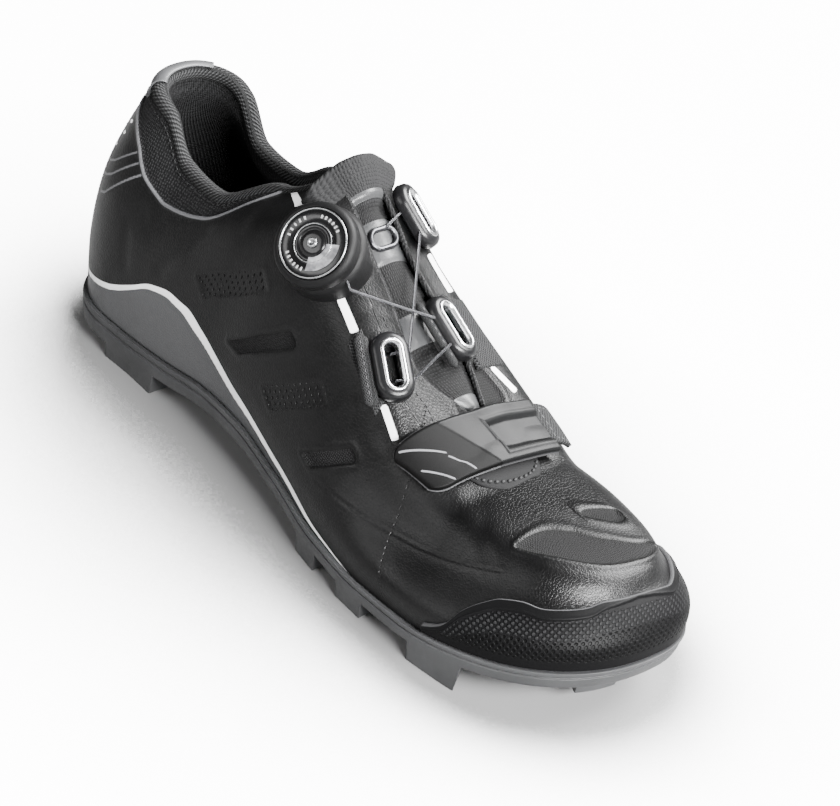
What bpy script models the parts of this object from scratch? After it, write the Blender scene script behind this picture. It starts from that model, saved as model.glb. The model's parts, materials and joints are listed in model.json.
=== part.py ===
"""A right-foot cycling shoe for trail riding: a stiff sole with rubber lugs, a moulded upper
with a padded collar, a tongue, a dial that winds a thin steel cable through guides, and a
strap across the toes.

Lengths are metres. X runs from heel to toe, Y from the outer to the inner side, Z up. The form is
worked out from six sizes and the table FORM, then set down with its box centred on the origin."""
import bpy
import numpy as np

for item in list(bpy.data.objects):
    bpy.data.objects.remove(item, do_unlink=True)

LENGTH = 0.283            # heel to toe, European size 43
BALL_WIDTH = 0.100        # across the ball of the foot
COLLAR_HEIGHT = 0.087     # feather edge to topline at the heel
INSTEP_HEIGHT = 0.086     # feather edge to the top of the instep
SOLE_STACK = 0.022        # floor to feather edge, as the shares below scale it
HEEL_PIVOT, TOE_PIVOT = 0.115, 0.76      # centres of the round heel and toe, shares of the length
HEEL_ROUND, TOE_ROUND = 2.25, 2.3        # 2 is an ellipse, higher is squarer
FORM_COLUMNS = ("along lateral medial ridge feather collar instep rim_lat rim_med "
                "bulge_out bulge_up mid_out mid_up shoulder_out shoulder_up").split()
FORM = np.array([
    # along lateral medial ridge feather collar instep rims, lateral and medial, then out and up
    [0.00, .333, .333, .000, 0.74, 1.03, .000, .62, .62, 1.06, .30, 1.01, .58, .83, .82],
    [.115, .333, .333, .000, 0.74, 0.98, .000, .62, .58, 1.06, .28, 1.00, .55, .80, .80],
    [0.17, .335, .323, .000, 0.76, 0.82, .000, .66, .56, 1.06, .28, 1.02, .55, .86, .80],
    [0.24, .337, .295, .010, 0.84, 0.79, .000, .70, .58, 1.06, .30, 1.03, .58, .90, .82],
    [0.32, .345, .272, .017, 1.00, 0.91, .000, .46, .46, 1.06, .28, 1.00, .56, .86, .84],
    [0.40, .375, .265, .028, 1.06, 0.00, 1.05, .34, .17, 1.06, .22, 0.98, .50, .76, .85],
    [0.50, .415, .285, .036, 0.86, 0.00, 0.88, .34, .08, 1.05, .22, 0.96, .52, .73, .88],
    [0.60, .475, .355, .041, 0.68, 0.00, 0.71, .40, .12, 1.02, .24, 0.88, .54, .67, .90],
    [0.70, .505, .470, .045, 0.63, 0.00, 0.50, .00, .00, 1.01, .25, 0.82, .54, .58, .91],
    [0.76, .505, .448, .045, 0.65, 0.00, .435, .00, .00, 1.01, .26, 0.81, .55, .56, .92],
    [0.88, .420, .392, .045, 0.86, 0.00, .435, .00, .00, 1.00, .28, 0.81, .58, .57, .93],
    [1.00, .000, .000, .045, 1.15, 0.00, .435, .00, .00, 0.98, .34, 0.84, .66, .65, .95],
])
PROFILE_STEPS = np.array([0, .22, .46, .72, 1.0])   # where each column's five heights fall
HEEL_TURN, TOE_TURN = 0.14, 0.72         # where the way round leaves the heel and enters the toe

GAP = 0.0003              # between pieces that touch
SEAT = 0.0006             # between the upper and what follows its curve
WALL = 0.0022             # the upper's layers together
COLLAR_PAD = 0.0055       # foam added inside the collar
SOLE_LIP = 0.0014         # how far the sole stands proud of the upper
INSOLE = 0.0035
TONGUE = 0.0032
CABLE = 0.0012            # diameter of the steel cable


def smooth(xs, ys, x):
    """A monotone cubic through the points."""
    xs, ys = np.asarray(xs, float), np.asarray(ys, float)
    slope = np.diff(ys) / np.diff(xs)
    tangent = np.concatenate([slope[:1], np.zeros(len(xs) - 2), slope[-1:]])
    for i in range(1, len(xs) - 1):
        if slope[i - 1] * slope[i] > 0:
            h0, h1 = xs[i] - xs[i - 1], xs[i + 1] - xs[i]
            tangent[i] = 3 * (h0 + h1) / ((2 * h1 + h0) / slope[i - 1] + (h1 + 2 * h0) / slope[i])
    x = np.clip(x, xs[0], xs[-1])
    k = np.clip(np.searchsorted(xs, x, side="right") - 1, 0, len(xs) - 2)
    return hermite(ys[k], tangent[k], ys[k + 1], tangent[k + 1], xs[k + 1] - xs[k], x - xs[k])


def hermite(y0, m0, y1, m1, width, x):
    u = x / width
    return ((2 * u**3 - 3 * u**2 + 1) * y0 + (u**3 - 2 * u**2 + u) * width * m0
            + (3 * u**2 - 2 * u**3) * y1 + (u**3 - u**2) * width * m1)


def share(name, along):
    return smooth(FORM[:, 0], FORM[:, FORM_COLUMNS.index(name)], along)


def station(u):
    """Way round the shoe, 0 heel, 0 to 1 lateral, 1 toe, 1 to 2 or below 0 medial:
    the point on the ridge line, the reach from it to the sole's edge, and the edge's share."""
    v = u % 2
    side, w = (-1, v) if v <= 1 else (1, 2 - v)
    name = "lateral" if side < 0 else "medial"
    if HEEL_TURN <= w <= TOE_TURN:
        along = HEEL_PIVOT + (TOE_PIVOT - HEEL_PIVOT) * (w - HEEL_TURN) / (TOE_TURN - HEEL_TURN)
        turn, power, reach = np.pi / 2, 1, 0
    elif w < HEEL_TURN:
        along, turn, power, reach = HEEL_PIVOT, np.pi / 2 * w / HEEL_TURN, 2 / HEEL_ROUND, -HEEL_PIVOT
    else:
        along, power, reach = TOE_PIVOT, 2 / TOE_ROUND, 1 - TOE_PIVOT
        turn = np.pi / 2 * (1 - w) / (1 - TOE_TURN)
    ridge = share("ridge", along) * BALL_WIDTH
    half = side * share(name, along) * BALL_WIDTH - ridge
    across = abs(np.sin(turn)) ** power
    forth = reach * LENGTH * abs(np.cos(turn)) ** power if reach else 0.0
    return np.array([along * LENGTH, ridge]), np.array([forth, half * across]), along, side


def skin(u, t):
    """A point of the upper's outer face. t runs from 0 at the feather edge to 1 at the rim."""
    spine, reach, pivot, side = station(u)
    along = (spine[0] + reach[0]) / LENGTH
    foot = share("feather", along) * SOLE_STACK
    rise = share("collar", along) * COLLAR_HEIGHT + share("instep", along) * INSTEP_HEIGHT
    if along > TOE_PIVOT:
        rise = share("feather", TOE_PIVOT) * SOLE_STACK + share("instep", TOE_PIVOT) * INSTEP_HEIGHT - foot
    rim = share("rim_lat" if side < 0 else "rim_med", along)
    outs = [1.0] + [share(c + "_out", along) for c in ("bulge", "mid", "shoulder")] + [rim]
    ups = [0.0] + [share(c + "_up", along) for c in ("bulge", "mid", "shoulder")] + [1.0]
    out, up = profile(outs, t, None), profile(ups, t, 0.0 if rim < 1e-6 else None)
    return np.array([*(spine + out * reach), foot + up * rise])


def profile(values, t, end):
    k, v = PROFILE_STEPS, np.asarray(values)
    slope = np.diff(v) / np.diff(k)
    tangent = np.concatenate([slope[:1], (v[2:] - v[:-2]) / (k[2:] - k[:-2]),
                              slope[-1:] if end is None else [end]])
    i = int(np.clip(np.searchsorted(k, t, side="right") - 1, 0, 3))
    return hermite(v[i], tangent[i], v[i + 1], tangent[i + 1], k[i + 1] - k[i], t - k[i])


def outward(u, t, step=2e-3):
    """The face's normal, by differences."""
    a, b = skin(u + step, t) - skin(u - step, t), skin(u, min(t + step, 1)) - skin(u, max(t - step, 0))
    n = np.cross(a, b)
    return n / (np.linalg.norm(n) + 1e-12)


def material(name, colour, rough, metal=0.0):
    made = bpy.data.materials.new(name)
    made.use_nodes = True
    shader = made.node_tree.nodes["Principled BSDF"]
    shader.inputs["Base Color"].default_value = (*colour, 1.0)
    shader.inputs["Roughness"].default_value = rough
    shader.inputs["Metallic"].default_value = metal
    return made


root = bpy.data.objects.new("shoe", None)
bpy.context.collection.objects.link(root)


def weld(points, faces):
    """Equal points become one, and faces that shrink to a line are left out."""
    keys, index, where = {}, [], []
    for p in points:
        key = tuple(np.round(p * 1e6).astype(int))
        if key not in keys:
            keys[key] = len(where)
            where.append(p)
        index.append(keys[key])
    kept = []
    for face in faces:
        ring = [index[i] for i in face]
        ring = [a for k, a in enumerate(ring) if a != ring[k - 1]]
        if len(set(ring)) >= 3:
            kept.append(tuple(ring))
    return np.array(where), kept, index


def solid(name, points, faces, colour, rough=0.6, metal=0.0):
    """A closed piece from its points and faces."""
    points, faces, index = weld(np.asarray(points, float), faces)
    fans = [(f[0], f[k], f[k + 1]) for f in faces for k in range(1, len(f) - 1)]
    if sum(np.dot(points[a], np.cross(points[b], points[c])) for a, b, c in fans) < 0:
        faces = [f[::-1] for f in faces]
    mesh = bpy.data.meshes.new(name)
    mesh.from_pydata([tuple(p) for p in points], [], faces)
    mesh.validate()
    mesh.materials.append(material(name, colour, rough, metal))
    made = bpy.data.objects.new(name, mesh)
    bpy.context.collection.objects.link(made)
    made.parent = root
    return made


def grid_faces(rows, columns, wrap=False):
    """Faces of a grid, rows running outermost. With wrap the last row joins the first."""
    last = rows if wrap else rows - 1
    return [(i * columns + j, (i + 1) % rows * columns + j, (i + 1) % rows * columns + j + 1,
             i * columns + j + 1) for i in range(last) for j in range(columns - 1)]


def plate(name, low, high, colour, rough=0.6, metal=0.0):
    """A closed sheet between two grids of points, low under high."""
    low, high = np.asarray(low), np.asarray(high)
    rows, columns = low.shape[:2]
    faces = [f[::-1] for f in grid_faces(rows, columns)]
    half = rows * columns
    top = [tuple(half + i for i in f[::-1]) for f in faces]
    edge = ([i * columns for i in range(rows)] + [(rows - 1) * columns + j for j in range(1, columns)]
            + [i * columns + columns - 1 for i in range(rows - 2, -1, -1)]
            + [j for j in range(columns - 2, 0, -1)])
    sides = [(a, b, half + b, half + a) for a, b in zip(edge, edge[1:] + edge[:1])]
    return solid(name, np.concatenate([low.reshape(-1, 3), high.reshape(-1, 3)]),
                 faces + top + sides, colour, rough, metal)


def overlay(name, us, lows, highs, thick, colour, rough=0.6, rows=5, lift=SEAT):
    """A layer that follows the upper between two edges, given as heights for each way round."""
    low, high = [], []
    for u, t0, t1 in zip(us, lows, highs):
        places = [(skin(u, t), outward(u, t)) for t in np.linspace(t0, t1, rows)]
        low.append([p + n * lift for p, n in places])
        high.append([p + n * (lift + thick) for p, n in places])
    return plate(name, low, high, colour, rough)


# Upper: one hollow wall, open at collar, throat and underneath
HEEL_COLUMNS, MIDDLE_COLUMNS, TOE_COLUMNS = 8, 20, 10
side_ways = np.concatenate([np.linspace(0, HEEL_TURN, HEEL_COLUMNS, endpoint=False),
                            np.linspace(HEEL_TURN, TOE_TURN, MIDDLE_COLUMNS, endpoint=False),
                            np.linspace(TOE_TURN, 1, TOE_COLUMNS, endpoint=False)])
ways = np.concatenate([side_ways, [1.0], 2 - side_ways[:0:-1]])
UPPER_ROWS = np.array([0, .08, .18, .30, .42, .54, .66, .76, .84, .91, .96, 1.0])


def wall(u, t):
    """Thickness: the foam of the collar swells it below the topline."""
    spine, reach, pivot, side = station(u)
    along = (spine[0] + reach[0]) / LENGTH
    pad = 1 - smooth([0, .31, .40, 1], [0, 0, 1, 1], along)
    swell = smooth([0, .45, .70, .88, .96, 1.0], [0, 0, .75, 1, .80, .45], t)
    return WALL + COLLAR_PAD * pad * swell


def point_normals(points, faces):
    normals = np.zeros_like(points)
    for face in faces:
        p = points[list(face)]
        n = np.cross(p[2] - p[0], p[-1] - p[1]) if len(face) == 4 else np.cross(p[1] - p[0], p[2] - p[0])
        for i in face:
            normals[i] += n
    return normals / (np.linalg.norm(normals, axis=1, keepdims=True) + 1e-12)


def open_edges(faces):
    edges = {}
    for face in faces:
        for a, b in zip(face, face[1:] + face[:1]):
            edges[a, b] = True
    return [(a, b) for a, b in edges if (b, a) not in edges]


columns = len(UPPER_ROWS)
outer = np.array([skin(u, t) for u in ways for t in UPPER_ROWS])
depth = np.array([wall(u, t) for u in ways for t in UPPER_ROWS])
outer, faces, index = weld(outer, grid_faces(len(ways), columns, wrap=True))
thickness = np.zeros(len(outer))
thickness[index] = depth
normals = point_normals(outer, faces)
if np.dot(normals[index[len(side_ways) // 2 * columns + 5]], (0, -1, 0)) < 0:
    faces = [f[::-1] for f in faces]
    normals = -normals
inner = outer - normals * thickness[:, None]
count = len(outer)
shell = faces + [tuple(count + i for i in f[::-1]) for f in faces]
shell += [(b, a, count + a, count + b) for a, b in open_edges(faces)]
solid("upper", np.concatenate([outer, inner]), shell, (0.02, 0.02, 0.022), 0.55)

# Outsole: a stiff plate with arch and toe spring, rubber lugs below
PLATE = np.array([       # thickness of the plate at its edge, shares of the stack
    [0.00, .46], [.105, .44], [0.22, .40], [0.34, .36], [0.46, .34], [0.60, .32], [0.76, .30], [1.0, .30]])
LUGS = [                 # way round from and to, share of the half width from and to, bottom above floor
    ("heel", .143, .235, .40, 1.0, 0.0),
    ("front_waist", .545, .585, .46, 1.0, 0.0),
    ("ball", .628, .672, .46, 1.0, 0.0),
    ("front", .735, .790, .52, 1.0, 0.0),
    ("tip", .925, .985, .52, .90, 0.0072),
]
CLEAT = (.632, .690, .40, 0.0042)     # way round from and to, half width share, bottom above floor
LUG_DRAFT = 0.0012
sole_ways = sorted(set([0, .035, .07, .105] + [w for _, a, b, *_ in LUGS for w in (a, (a + b) / 2, b)]
                       + [CLEAT[1]] + [.28, .33, .38, .43, .48, .52, .71, .82, .86, .895]))
sole_ring = sole_ways + [1.0] + [2 - w for w in sole_ways[:0:-1]]
SHARES = [0, .40, .46, .52, .90, .93]


def feather(x):
    return share("feather", x / LENGTH) * SOLE_STACK


def bottom(x):
    along = x / LENGTH
    return feather(x) - GAP - smooth(PLATE[:, 0], PLATE[:, 1], along) * SOLE_STACK


def footprint(u, part, extra, height):
    spine, reach, pivot, side = station(u)
    flat = spine + reach * part + reach / (np.linalg.norm(reach) + 1e-12) * extra
    return np.array([flat[0], flat[1], height(flat[0])])


sole_top = lambda x: feather(x) - GAP
section = []
for u in sole_ring:
    row = [footprint(u, s, 0, sole_top) for s in (0, .5, .9)]
    rim = footprint(u, 1, SOLE_LIP, sole_top)
    low = footprint(u, 1, SOLE_LIP * 0.2, bottom)
    row += [rim, (rim + low) / 2, low]
    row += [footprint(u, s, 0, bottom) for s in SHARES[::-1]]
    section.append(row)
section = np.array(section)
width = section.shape[1]
points, faces, index = weld(section.reshape(-1, 3), grid_faces(len(sole_ring), width, wrap=True))
tagged = {}               # each face with its place round the ring and across the section
for face in grid_faces(len(sole_ring), width, wrap=True):
    ring = [index[k] for k in face]
    ring = tuple(a for k, a in enumerate(ring) if a != ring[k - 1])
    if len(set(ring)) >= 3:
        tagged[ring] = (face[0] // width, face[0] % width)


def under(i, j, ways_from, ways_to, share_from, share_to):
    """Whether the face at ring place i, column j lies in a stretch of the underside."""
    a, b = sole_ring[i], sole_ring[(i + 1) % len(sole_ring)]
    b = b if b > a else 2.0
    if a >= 1:
        a, b = 2 - b, 2 - a
    first = width - len(SHARES) - 1       # the face between the edge and the outermost share
    if j < first:
        return False
    hi, lo = ([1.0] + SHARES[::-1])[j - first:j - first + 2]
    return (a >= ways_from - 1e-9 and b <= ways_to + 1e-9
            and lo >= share_from - 1e-9 and hi <= share_to + 1e-9)


def extrude(points, tagged, chosen, height, draft):
    """Carry the chosen faces down to a height, drawn in a little, and wall the way there."""
    inside = [f for f in tagged if chosen(*tagged[f])]
    if not inside:
        return points, tagged
    used = sorted({i for f in inside for i in f})
    middle = points[used].mean(0)
    fresh = {}
    new = []
    for i in used:
        p = points[i].copy()
        d = middle[:2] - p[:2]
        p[:2] += d / (np.linalg.norm(d) + 1e-12) * min(draft, np.linalg.norm(d) * 0.5)
        p[2] = height
        fresh[i] = len(points) + len(new)
        new.append(p)
    edges = {(a, b) for f in inside for a, b in zip(f, f[1:] + f[:1])}
    out = {f: v for f, v in tagged.items() if f not in inside}
    for f in inside:
        out[tuple(fresh[i] for i in f)] = (-1, -1)
    for a, b in edges:
        if (b, a) not in edges:
            out[(a, b, fresh[b], fresh[a])] = (-1, -1)
    return np.concatenate([points, new]), out


for name, a, b, inward, outwards, height in LUGS:
    for side in (0, 1):
        pick = lambda i, j: (i >= 0 and (sole_ring[i] >= 1) == bool(side)
                             and under(i, j, a, b, inward, outwards))
        points, tagged = extrude(points, tagged, pick, height, LUG_DRAFT)
pick = lambda i, j: i >= 0 and under(i, j, CLEAT[0], CLEAT[1], 0, CLEAT[2])
points, tagged = extrude(points, tagged, pick, CLEAT[3], LUG_DRAFT)
solid("outsole", points, list(tagged), (0.045, 0.045, 0.048), 0.45)

# Insole
low, high = [], []
for u in sole_ring:
    spine, reach, pivot, side = station(u)
    half = np.linalg.norm(reach)
    edge = 1 - (WALL + 0.0018) / half
    low.append([footprint(u, s, 0, lambda x: feather(x) + GAP) for s in (0, .5, edge)])
    high.append([footprint(u, s, 0, lambda x: feather(x) + INSOLE) for s in (0, .5, edge - .0008 / half)])
stack = np.concatenate([low, np.array(high)[:, ::-1]], axis=1)
solid("insole", stack.reshape(-1, 3), grid_faces(len(sole_ring), 6, wrap=True), (0.03, 0.03, 0.032), 0.8)

# Tongue: a padded strip under the throat's edges, its top standing out of the collar
def way(along, side):
    w = HEEL_TURN + (TOE_TURN - HEEL_TURN) * (along - HEEL_PIVOT) / (TOE_PIVOT - HEEL_PIVOT)
    return w if side < 0 else 2 - w


UNDER = [.88, .94, 1.0]


def tongue_section(along):
    """Points across the tongue's upper face at a station, from the outer side to the inner."""
    edges = []
    for side in (-1, 1):
        u = way(along, side)
        edges.append([skin(u, t) - outward(u, t) * (wall(u, t) + SEAT + 0.0008) for t in UNDER])
    left, right = edges
    mid = []
    for k in (.25, .5, .75):
        p = left[2] * (1 - k) + right[2] * k
        mid.append(p + np.array([0.28, 0, 1.0]) * 0.0022 * (1 - (2 * k - 1) ** 2))
    return np.array(left + mid + right[::-1])


TONGUE_FROM, TONGUE_TO = 0.455, 0.672
TONGUE_RISE = np.array([-0.0205, 0.0020, 0.0168])    # from the last held station to the lobe's end
stations = [tongue_section(a) for a in np.linspace(TONGUE_TO, TONGUE_FROM, 11)]
last = stations[-1]
centre = last.mean(0)
for rise, wide in ((.32, .47), (.62, .42), (.86, .46), (1.04, .70), (1.16, .56)):
    stations.append(centre + (last - centre) * np.array([1, wide, wide]) + TONGUE_RISE * rise)
stations = np.array(stations)
down = np.array([-0.45, 0, -0.89])
padding = np.array([TONGUE] * 11 + [.0042, .0058, .0062, .0055, .004])[:, None, None]
plate("tongue", stations + down * padding, stations, (0.025, 0.025, 0.027), 0.8)

# Rubber overlays at toe and heel, and the pull tab
BUMPER = np.array([      # way round, height of the wavy edge
    [.745, .10], [.77, .20], [.80, .36], [.84, .45], [.89, .44], [.94, .47], [1.0, .47],
    [1.05, .43], [1.10, .44], [1.16, .40], [1.21, .26], [1.25, .12]])
bumper_ways = [u for u in ways if BUMPER[0, 0] - 1e-9 <= u <= BUMPER[-1, 0] + 1e-9]
overlay("toe_bumper", bumper_ways, [.015] * len(bumper_ways),
        [smooth(BUMPER[:, 0], BUMPER[:, 1], u) for u in bumper_ways], .0010, (0.03, 0.03, 0.032), .7, rows=6)
strip_ways = np.linspace(-.03, .03, 7)
overlay("heel_strip", strip_ways, [.03] * 7, [.60, .66, .69, .70, .69, .66, .60], .0014, (0.03, 0.03, 0.03), .7, rows=8)
overlay("heel_tab", np.linspace(-.035, .05, 9), [.86] * 9, [.975] * 9, .0008, (0.30, 0.31, 0.32), .35, rows=4)


# Dial
def frame_at(u, t):
    """A point of the upper with its normal, the direction along the shoe and the one across."""
    n = outward(u, t)
    a = skin(u + .004, t) - skin(u - .004, t)
    if u > 1:
        a = -a
    a -= n * np.dot(a, n)
    a /= np.linalg.norm(a)
    return skin(u, t), n, a, np.cross(n, a)


def turned(name, origin, axis, along, outline, segments, colour, rough=.5, metal=0.0, grip=0.0):
    """A turned piece. outline is radius and height from the axis below to the axis above."""
    across = np.cross(axis, along)
    points = []
    for k in range(segments):
        angle = 2 * np.pi * k / segments
        spoke = along * np.cos(angle) + across * np.sin(angle)
        for r, h in outline:
            r = r - grip * (k % 2) if r > .0138 and grip else r
            points.append(origin + spoke * r + axis * h)
    return solid(name, points, grid_faces(segments, len(outline), wrap=True), colour, rough, metal)


DIAL_WAY, DIAL_HEIGHT = .441, .785
DIAL_RADIUS = 0.0152
DIAL_BASE, DIAL_KNOB = 0.0052, 0.0070     # heights above the upper
seat, up, forth, side_on = frame_at(DIAL_WAY, DIAL_HEIGHT)
up = sum(outward(DIAL_WAY, DIAL_HEIGHT + d) for d in (-.20, -.10, 0, .10))     # lies on the bend
up *= (.45, 1, 1)         # stands a little more upright than the bend
up /= np.linalg.norm(up)
forth = forth - up * np.dot(forth, up)
forth /= np.linalg.norm(forth)
side_on = np.cross(up, forth)


def around(angle, radius):
    """A place on the upper at a radius from the dial's seat, found by halving, short of the rim."""
    near, far = 0.0, .3
    for _ in range(14):
        k = (near + far) / 2
        t = min(DIAL_HEIGHT + k * 1.6 * np.sin(angle), .985)
        p = skin(DIAL_WAY + k * np.cos(angle) * .5, t)
        near, far = (k, far) if np.linalg.norm(p - seat) < radius else (near, k)
    return p + outward(DIAL_WAY + k * np.cos(angle) * .5, t) * SEAT


points = []
for q in range(28):
    angle = 2 * np.pi * q / 28
    points += [seat + outward(DIAL_WAY, DIAL_HEIGHT) * SEAT]
    points += [around(angle, r) for r in (.006, .011, DIAL_RADIUS + .0010)]
    toward = points[-1] - seat
    toward -= up * np.dot(toward, up)
    toward *= (DIAL_RADIUS + .0010) / np.linalg.norm(toward)
    for r, h in ((1.0, .0030), (.93, DIAL_BASE), (0, DIAL_BASE)):
        points.append(seat + toward * r + up * h)
solid("dial_base", points, grid_faces(28, 7, wrap=True), (0.02, 0.02, 0.02), .65)
h0, h1 = DIAL_BASE + GAP, DIAL_BASE + GAP + DIAL_KNOB
turned("dial_knob", seat, up, forth, [(0, h0), (DIAL_RADIUS * .9, h0), (DIAL_RADIUS, h0 + .0012),
       (DIAL_RADIUS, h1 - .0014), (DIAL_RADIUS - .0012, h1), (.0123, h1), (.0123, h1 - .0012), (0, h1 - .0012)],
       40, (0.03, 0.03, 0.03), .6, grip=.0005)
turned("dial_cap", seat, up, forth, [(0, h1 - .0009), (.0120, h1 - .0009), (.0120, h1 - .0001), (.0105, h1 + .0003),
       (.0030, h1 + .0009), (.0026, h1 + .0004), (0, h1 + .0004)], 32, (0.55, 0.56, 0.58), .3, 1.0)

# Cable guides: oval loops that stand on the edges of the throat
GUIDE_LONG, GUIDE_WIDE, GUIDE_BAR, GUIDE_TALL = 0.0220, 0.0110, 0.0030, 0.0046
GUIDES = {               # way round, height, turn in degrees, and how far it hangs over the throat
    "guide_lateral": (.567, .835, -18.0, 0.0),
    "guide_medial": (1.446, .965, 0.0, .0070),
    "guide_top": (1.560, .855, 12.0, 0.0),
}


def loop(name, frame, long, wide, bar, tall, bend, colour, metal=.2):
    """An oval ring of flattened wire, its long side along the frame's second direction."""
    origin, n, a, c = frame
    straight = (long - wide) / 2
    points = []
    for k in range(24):
        ca, sa = np.cos(2 * np.pi * k / 24), np.sin(2 * np.pi * k / 24)
        for dr, h in ((-.5, .10), (.5, .10), (.55, .55), (.25, 1.0), (-.25, 1.0), (-.55, .55), (-.5, .10)):
            r = wide / 2 - bar / 2 + dr * bar
            x, y = np.sign(ca) * straight * (abs(ca) > 1e-6) + r * ca, r * sa
            points.append(origin + a * x + c * y + n * (SEAT + 0.0004 + h * tall - bend * y * y))
    return solid(name, points, grid_faces(24, 7, wrap=True), colour, .35, metal)


frames = {}
for name, (u, t, turn, over) in GUIDES.items():
    origin, n, a, c = frame_at(u, t)
    origin = origin - c * over
    ca, sa = np.cos(np.radians(turn)), np.sin(np.radians(turn))
    frames[name] = (origin, n, a * ca + c * sa, c * ca - a * sa)
    loop(name, frames[name], GUIDE_LONG, GUIDE_WIDE, GUIDE_BAR, GUIDE_TALL, 8, (0.05, 0.05, 0.05))
overlay("webbing_lateral", np.linspace(.522, .580, 5), np.linspace(.695, .645, 5), np.linspace(.755, .700, 5), .0010, (0.12, 0.12, 0.12), .9, rows=4)
overlay("webbing_medial", np.linspace(1.405, 1.470, 5), [.80] * 5, [.935] * 5, .0010, (0.12, 0.12, 0.12), .9, rows=4)


# Strap: a webbing band over the toes with a moulded plate, sewn down at the inner side
def arch(along, across):
    """A point over the foot: across runs from -1, the outer feather edge, to 1, the inner one."""
    path = np.array([skin(way(along, -1), t) for t in np.linspace(0, 1, 17)]
                    + [skin(way(along, 1), t) for t in np.linspace(1, 0, 17)])
    far = np.concatenate([[0], np.cumsum(np.linalg.norm(np.diff(path, axis=0), axis=1))])
    middle = (far[16] + far[17]) / 2
    at = middle * (1 + across) if across < 0 else middle + (far[-1] - middle) * across
    return np.array([np.interp(at, far, path[:, k]) for k in range(3)])


STRAP_LINES = ((.652, .706), (.676, .728))     # along from and to, at the outer and the inner end
STRAP_STATIONS = np.linspace(-.475, .41, 16)     # across the foot, the tip first


def band(name, stations, inset, lift, thick, colour, rough, width=4):
    """A strip across the foot between the strap's two lines."""
    low, high = [], []
    for across in stations:
        k = (across - STRAP_STATIONS[0]) / (STRAP_STATIONS[-1] - STRAP_STATIONS[0])
        start, end = (STRAP_LINES[0][i] * (1 - k) + STRAP_LINES[1][i] * k for i in (0, 1))
        ps = [arch(a, across) for a in np.linspace(start + inset, end - inset, width)]
        right = arch((start + end) / 2, across + .04) - arch((start + end) / 2, across - .04)
        n = np.cross(ps[-1] - ps[0], right)
        n /= np.linalg.norm(n)
        low.append([q + n * lift for q in ps])
        high.append([q + n * (lift + thick) for q in ps])
    return plate(name, low, high, colour, rough)


STRAP_THICK, PLATE_THICK = .0018, .0030
STRAP_LIFT = .0013
band("strap", STRAP_STATIONS[1:], 0, STRAP_LIFT, STRAP_THICK, (0.03, 0.03, 0.03), .85)
band("strap_plate", STRAP_STATIONS[:13], 0, STRAP_LIFT + STRAP_THICK + SEAT, PLATE_THICK, (0.20, 0.205, 0.21), .4)


# Cable: one crossing over the throat and one bar below it
def tube(name, path, colour):
    path = np.asarray(path, float)
    points = []
    for k, p in enumerate(path):
        d = path[min(k + 1, len(path) - 1)] - path[max(k - 1, 0)]
        d /= np.linalg.norm(d)
        a = np.cross(d, (0, 0, 1.0))
        a /= np.linalg.norm(a)
        b = np.cross(a, d)
        points += [p + CABLE / 2 * (a * np.cos(q) + b * np.sin(q)) for q in np.arange(8) * np.pi / 4]
    faces = [(i * 8 + j, i * 8 + (j + 1) % 8, (i + 1) * 8 + (j + 1) % 8, (i + 1) * 8 + j)
             for i in range(len(path) - 1) for j in range(8)]
    faces += [tuple(range(8))[::-1], tuple((len(path) - 1) * 8 + i for i in range(8))]
    return solid(name, points, faces, colour, .3, 1.0)


def run(start, end, lift, steps=7):
    """A taut cable between two places, bowed up a little over the tongue."""
    k = np.linspace(0, 1, steps)[:, None]
    return start * (1 - k) + end * k + np.array([.25, 0, 1.0]) * lift * 4 * k * (1 - k)


def beside(name, forward, across, height=.0034):
    """A point beside a guide: forward towards the toe, across towards the inner side."""
    origin, n, a, c = frames[name]
    return origin + a * forward + c * across + n * height


clear = GUIDE_WIDE / 2 + CABLE / 2 + GAP + .0004
lines = [
    (beside("guide_top", GUIDE_LONG * .25, -clear), beside("guide_lateral", -GUIDE_LONG * .25, clear)),
    (seat + forth * (DIAL_RADIUS + .0026) + side_on * .004 + up * .0042, beside("guide_medial", -GUIDE_LONG * .25, -clear)),
]
(p0, p1), (q0, q1) = lines
sides = np.array([p1 - p0, q0 - q1, np.cross(p1 - p0, q0 - q1)]).T
k, m, apart = np.linalg.solve(sides, q0 - p0)
crossing = ((p0 + (p1 - p0) * k) + (q0 + (q1 - q0) * m)) / 2
first = tube("cable_cross", np.concatenate([run(p0, crossing, 0, 4)[:-1], run(crossing, p1, 0, 4)]), (.6, .6, .6))
second = tube("cable_cutter", np.concatenate([run(q0, crossing, 0, 4)[:-1], run(crossing, q1, 0, 4)]), (.6, .6, .6))
second.hide_render = True
second.display_type = "WIRE"
join = first.modifiers.new("join", "BOOLEAN")
join.operation, join.solver, join.object = "UNION", "EXACT", second
tube("cable_bar", run(beside("guide_lateral", GUIDE_LONG * .24, clear),
                      beside("guide_medial", GUIDE_LONG * .24, -clear), .0008), (.6, .6, .6))
on_tongue = tongue_section(.470)[4]
slope = tongue_section(.480)[4] - tongue_section(.460)[4]
slope /= np.linalg.norm(slope)
loop("tongue_keeper", (on_tongue - np.cross(slope, (0, 1.0, 0)) * .0006, np.cross(slope, (0, 1.0, 0)), np.array((0, 1.0, 0)), -slope),
     .0130, .0085, .0018, .0018, 0, (.35, .35, .36), .9)

# Set down: box centred over the origin, lugs on the floor
corners = np.array([v.co for o in bpy.data.objects if o.type == "MESH" for v in o.data.vertices])
low, high = corners.min(0), corners.max(0)
root.location = (-(low[0] + high[0]) / 2, -(low[1] + high[1]) / 2, -low[2])
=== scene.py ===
"""A right-foot trail cycling shoe dressed over its solids. Every piece is worked out from the shoe's
own form: a place on the upper is a way round it and a height from the sole's edge to the rim."""
import json
import bpy
import bmesh
import numpy as np
from mathutils import Matrix

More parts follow.
